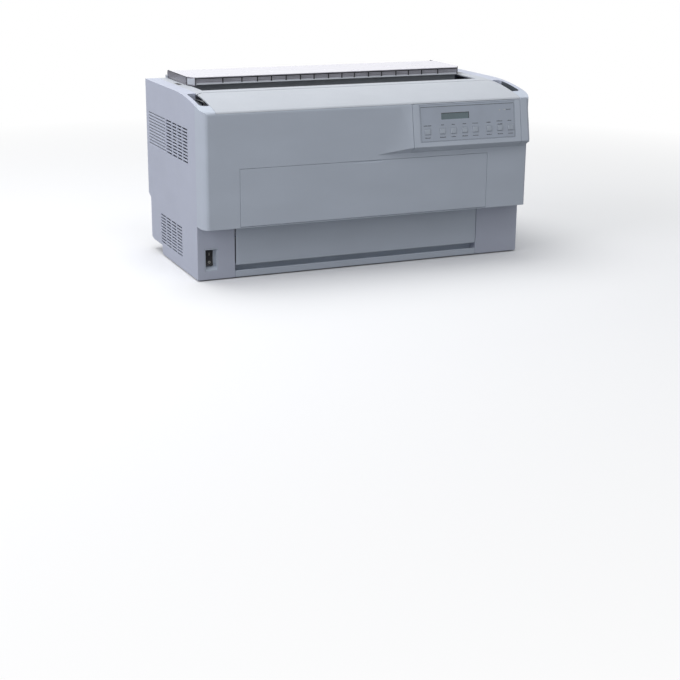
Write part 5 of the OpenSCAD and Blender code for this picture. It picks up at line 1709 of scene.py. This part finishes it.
@dataclass
class Electronics(Assembly):
    """Parts on the main board and in the power supply."""

    rounded: dict[str, float] = field(default_factory=lambda: {
        "power_supply": 0.3, "main_board": 0.15, "panel_board": 0.15,
    })
    chips: tuple[float, ...] = (-40.0, 4.0, 48.0, 92.0, 136.0)
    chip_legs: tuple[float, float, int] = (1.6, 2.3, 11)
    chip_leg_y: tuple[Span, ...] = ((-21.2, -19.8), (5.8, 7.2))
    chip_leg_z: Span = (15.0, 16.7)
    leg_half: float = 0.4
    processor_legs: tuple[Row, ...] = tuple(
        Row(spaced(181.4, 2.4, 13), 0.4, y, (15.0, 16.3)) for y in ((-61.4, -59.8), (-28.2, -26.6)))
    cans: tuple[tuple[float, float, float, float], ...] = (
        (170.0, 30.0, 6.0, 33.1), (190.0, 30.0, 6.0, 33.1), (226.0, -50.0, 5.0, 29.1),
        (246.0, -50.0, 5.0, 29.1), (-50.0, -50.0, 4.0, 26.1), (-30.0, -50.0, 4.0, 26.1),
    )
    can_foot: float = 14.9
    can_rim: tuple[float, float, float] = (0.9, 0.4, 0.8)
    small_x: tuple[float, ...] = spaced(-60.0, 20.0, 16)
    small_y: tuple[float, ...] = spaced(16.0, 7.0, 4)
    small_z: Span = (15.0, 16.4)
    small_widths: Span = (3.2, 4.6)
    small_deep: float = 1.9
    scatter: float = 3.0
    keep_free: Span = (160.0, 200.0)
    seed: int = 11
    flat_cable: Bundle = Bundle(
        ((64.0, -86.0, 24.1), (64.0, -92.0, 45.1), (124.0, -106.0, 120.0), (192.0, -120.0, 200.0),
         (204.0, -168.0, 250.0), (206.0, -173.0, 262.0)), ((2.6, 0.0, 0.0),) * 6, 10, 0.9)
    windings: tuple[float, ...] = spaced(-268.0, 10.5, 9)
    winding_yz: Span = (-40.0, 54.0)
    winding_size: tuple[float, float, float] = (15.0, 9.0, 3.0)
    leads: Bundle = Bundle(
        ((-130.0, 60.0, 20.0), (-110.0, 70.0, 34.0), (-86.0, 72.0, 30.0), (-62.0, 70.0, 22.0)),
        ((0.0, 3.0, 0.0),) * 3 + ((0.0, 2.6, 0.0),), 6, 1.0)

    def details(self) -> None:
        """Adds chip legs, capacitors, small parts, the flat cable, windings and leads."""
        self.legs()
        self.capacitors()
        self.small_parts()
        self.cables()

    def legs(self) -> None:
        """Adds the legs of the chips and of the processor."""
        first, pitch, count = self.chip_legs
        legs = Shape()
        for x in self.chips:
            for y in self.chip_leg_y:
                legs.rows(Row(spaced(x + first, pitch, count), self.leg_half, y, self.chip_leg_z))
        legs.rows(*self.processor_legs).make("chip_legs", Slot.GROUND)

    def capacitors(self) -> None:
        """Adds the round capacitors with their rims."""
        wide, drop, high = self.can_rim
        cans = Shape()
        for x, y, radius, top in self.cans:
            cans.rod((x, y, self.can_foot), (x, y, top), radius)
            cans.ring((x, y, top - drop), UP, radius, radius - wide, high)
        cans.make("board_capacitors", Slot.MOTOR, rounding=0.3)

    def small_parts(self) -> None:
        """Adds rows of small parts, scattered a little and left out beside the capacitors."""
        chance = random.Random(self.seed)
        small = Shape()
        low, high = self.small_z
        for column in self.small_x:
            for y in self.small_y:
                x = column + chance.uniform(-self.scatter, self.scatter)
                if not self.keep_free[0] < x < self.keep_free[1]:
                    wide = chance.choice(self.small_widths)
                    small.box((x, y, low), (x + wide, y + self.small_deep, high))
        small.make("board_small_parts", Slot.PULLEY)

    def cables(self) -> None:
        """Adds the panel's flat cable and the supply's windings and leads."""
        Shape().bundles(self.flat_cable).make("panel_flat_cable", Slot.SOCKET)
        windings = Shape()
        for x in self.windings:
            windings.ring((x, *self.winding_yz), RIGHTWARD, *self.winding_size)
        windings.make("supply_windings", Slot.KNOB)
        Shape().bundles(self.leads).make("supply_leads", Slot.KNOB)


# ------------------------------------------------------------------ studio


@dataclass(frozen=True)
class Lamp:
    """A square soft lamp: its place and side in metres, its power in watts and its colour."""

    name: str
    place: Place
    size: float
    power: float
    tint: Colour = (1.0, 1.0, 1.0)

    def hang(self, aim: Place) -> None:
        """Adds the lamp to the scene, facing a point.

        Args:
            aim: the point.
        """
        data = bpy.data.lights.new(self.name, "AREA")
        data.shape = "SQUARE"
        data.size = self.size
        data.energy = self.power
        data.color = self.tint
        lamp = bpy.data.objects.new(self.name, data)
        lamp.location = self.place
        ray = Vector(aim) - Vector(self.place)
        lamp.rotation_euler = ray.to_track_quat("-Z", "Y").to_euler()
        bpy.context.scene.collection.objects.link(lamp)


@dataclass
class Studio:
    """Camera, floor, surround and soft lamps around the printer."""

    eye: Place = (-1.1456, -2.6347, 0.6949)
    yaw: float = 23.64
    pitch: float = 17.22
    roll: float = 0.54
    lens: float = 74.36
    sensor: float = 36.0
    far: float = 100.0
    lamps: tuple[Lamp, ...] = (
        Lamp("overhead_lamp", (-0.5, 0.6, 2.7), 2.0, 38.0),
        Lamp("left_lamp", (-2.8, -0.7, 1.3), 1.8, 34.0, (0.96, 0.95, 1.0)),
        Lamp("high_front_lamp", (0.0, -1.5, 2.6), 1.0, 7.0),
    )
    aim: Place = (0.0, 0.0, 0.2)
    floor_size: float = 60.0
    floor_seen: float = 0.96
    floor_bounce: float = 0.30
    fade: Span = (0.7, 2.0)
    sky_level: float = 0.46
    sky_tint: tuple[float, float, float, float] = (0.94, 0.965, 1.0, 1.0)

    def camera(self) -> None:
        """Adds the camera and makes it the scene's."""
        data = bpy.data.cameras.new("camera")
        data.lens = self.lens
        data.sensor_width = self.sensor
        data.clip_end = self.far
        yaw, pitch, roll = (math.radians(v) for v in (self.yaw, self.pitch, self.roll))
        forward = Vector((math.sin(yaw) * math.cos(pitch), math.cos(yaw) * math.cos(pitch),
                          -math.sin(pitch)))
        right = Vector((math.cos(yaw), -math.sin(yaw), 0.0))
        up = right.cross(forward)
        turn = Matrix((math.cos(roll) * right + math.sin(roll) * up,
                       math.cos(roll) * up - math.sin(roll) * right, -forward)).transposed()
        camera = bpy.data.objects.new("camera", data)
        camera.matrix_world = Matrix.Translation(self.eye) @ turn.to_4x4()
        bpy.context.scene.collection.objects.link(camera)
        bpy.context.scene.camera = camera

    def floor(self) -> None:
        """Adds the pale floor, which keeps the shadow and fades to white farther out."""
        shape = bmesh.new()
        bmesh.ops.create_grid(shape, x_segments=2, y_segments=2, size=self.floor_size / 2)
        floor = add_object("floor", shape)
        coat = bpy.data.materials.new("floor_paint")
        graph = Graph(coat)
        seen = graph.add("ShaderNodeLightPath").outputs["Is Camera Ray"]
        tone = graph.blend(seen, shade(WHITE, self.floor_bounce), shade(WHITE, self.floor_seen))
        soft = graph.add("ShaderNodeBsdfDiffuse", Color=tone)
        glow = graph.add("ShaderNodeEmission", Color=WHITE, Strength=1.0)
        far = graph.spread(graph.vector("LENGTH", graph.place()), 0.0, 1.0, self.fade)
        graph.close(graph.mix(graph.math("MULTIPLY", far, seen), soft, glow))
        floor.data.materials.append(coat)

    def sky(self) -> None:
        """Sets an even pale surround that shows white to the camera and in reflections."""
        world = bpy.data.worlds.new("surround")
        bpy.context.scene.world = world
        graph = Graph(world)
        rays = graph.add("ShaderNodeLightPath").outputs
        seen = rays["Is Camera Ray"]
        for name in ("Is Glossy Ray", "Is Transmission Ray"):
            seen = graph.math("MAXIMUM", seen, rays[name])
        light = graph.add("ShaderNodeBackground", Color=self.sky_tint, Strength=self.sky_level)
        white = graph.add("ShaderNodeBackground", Color=WHITE)
        graph.close(graph.mix(seen, light, white), "ShaderNodeOutputWorld")

    def build(self) -> None:
        """Adds everything around the printer."""
        self.camera()
        self.floor()
        self.sky()
        for lamp in self.lamps:
            lamp.hang(self.aim)
        bpy.context.scene.view_settings.view_transform = "Standard"


def main() -> None:
    """Builds the studio, the finishes and every sub-assembly, in order."""
    logging.basicConfig(level=logging.INFO, format="%(message)s")
    Studio().build()
    for name, slot in SLOT_OF.items():
        paint(frame["nodes"][name], slot)
    for assembly in (Casing(), Separator(), ControlPanel(), PowerSwitch(), RearPanel(),
                     Mechanism(), Feed(), Electronics()):
        log.info("building %s", type(assembly).__name__)
        assembly.build()


if __name__ == "__main__":
    main()
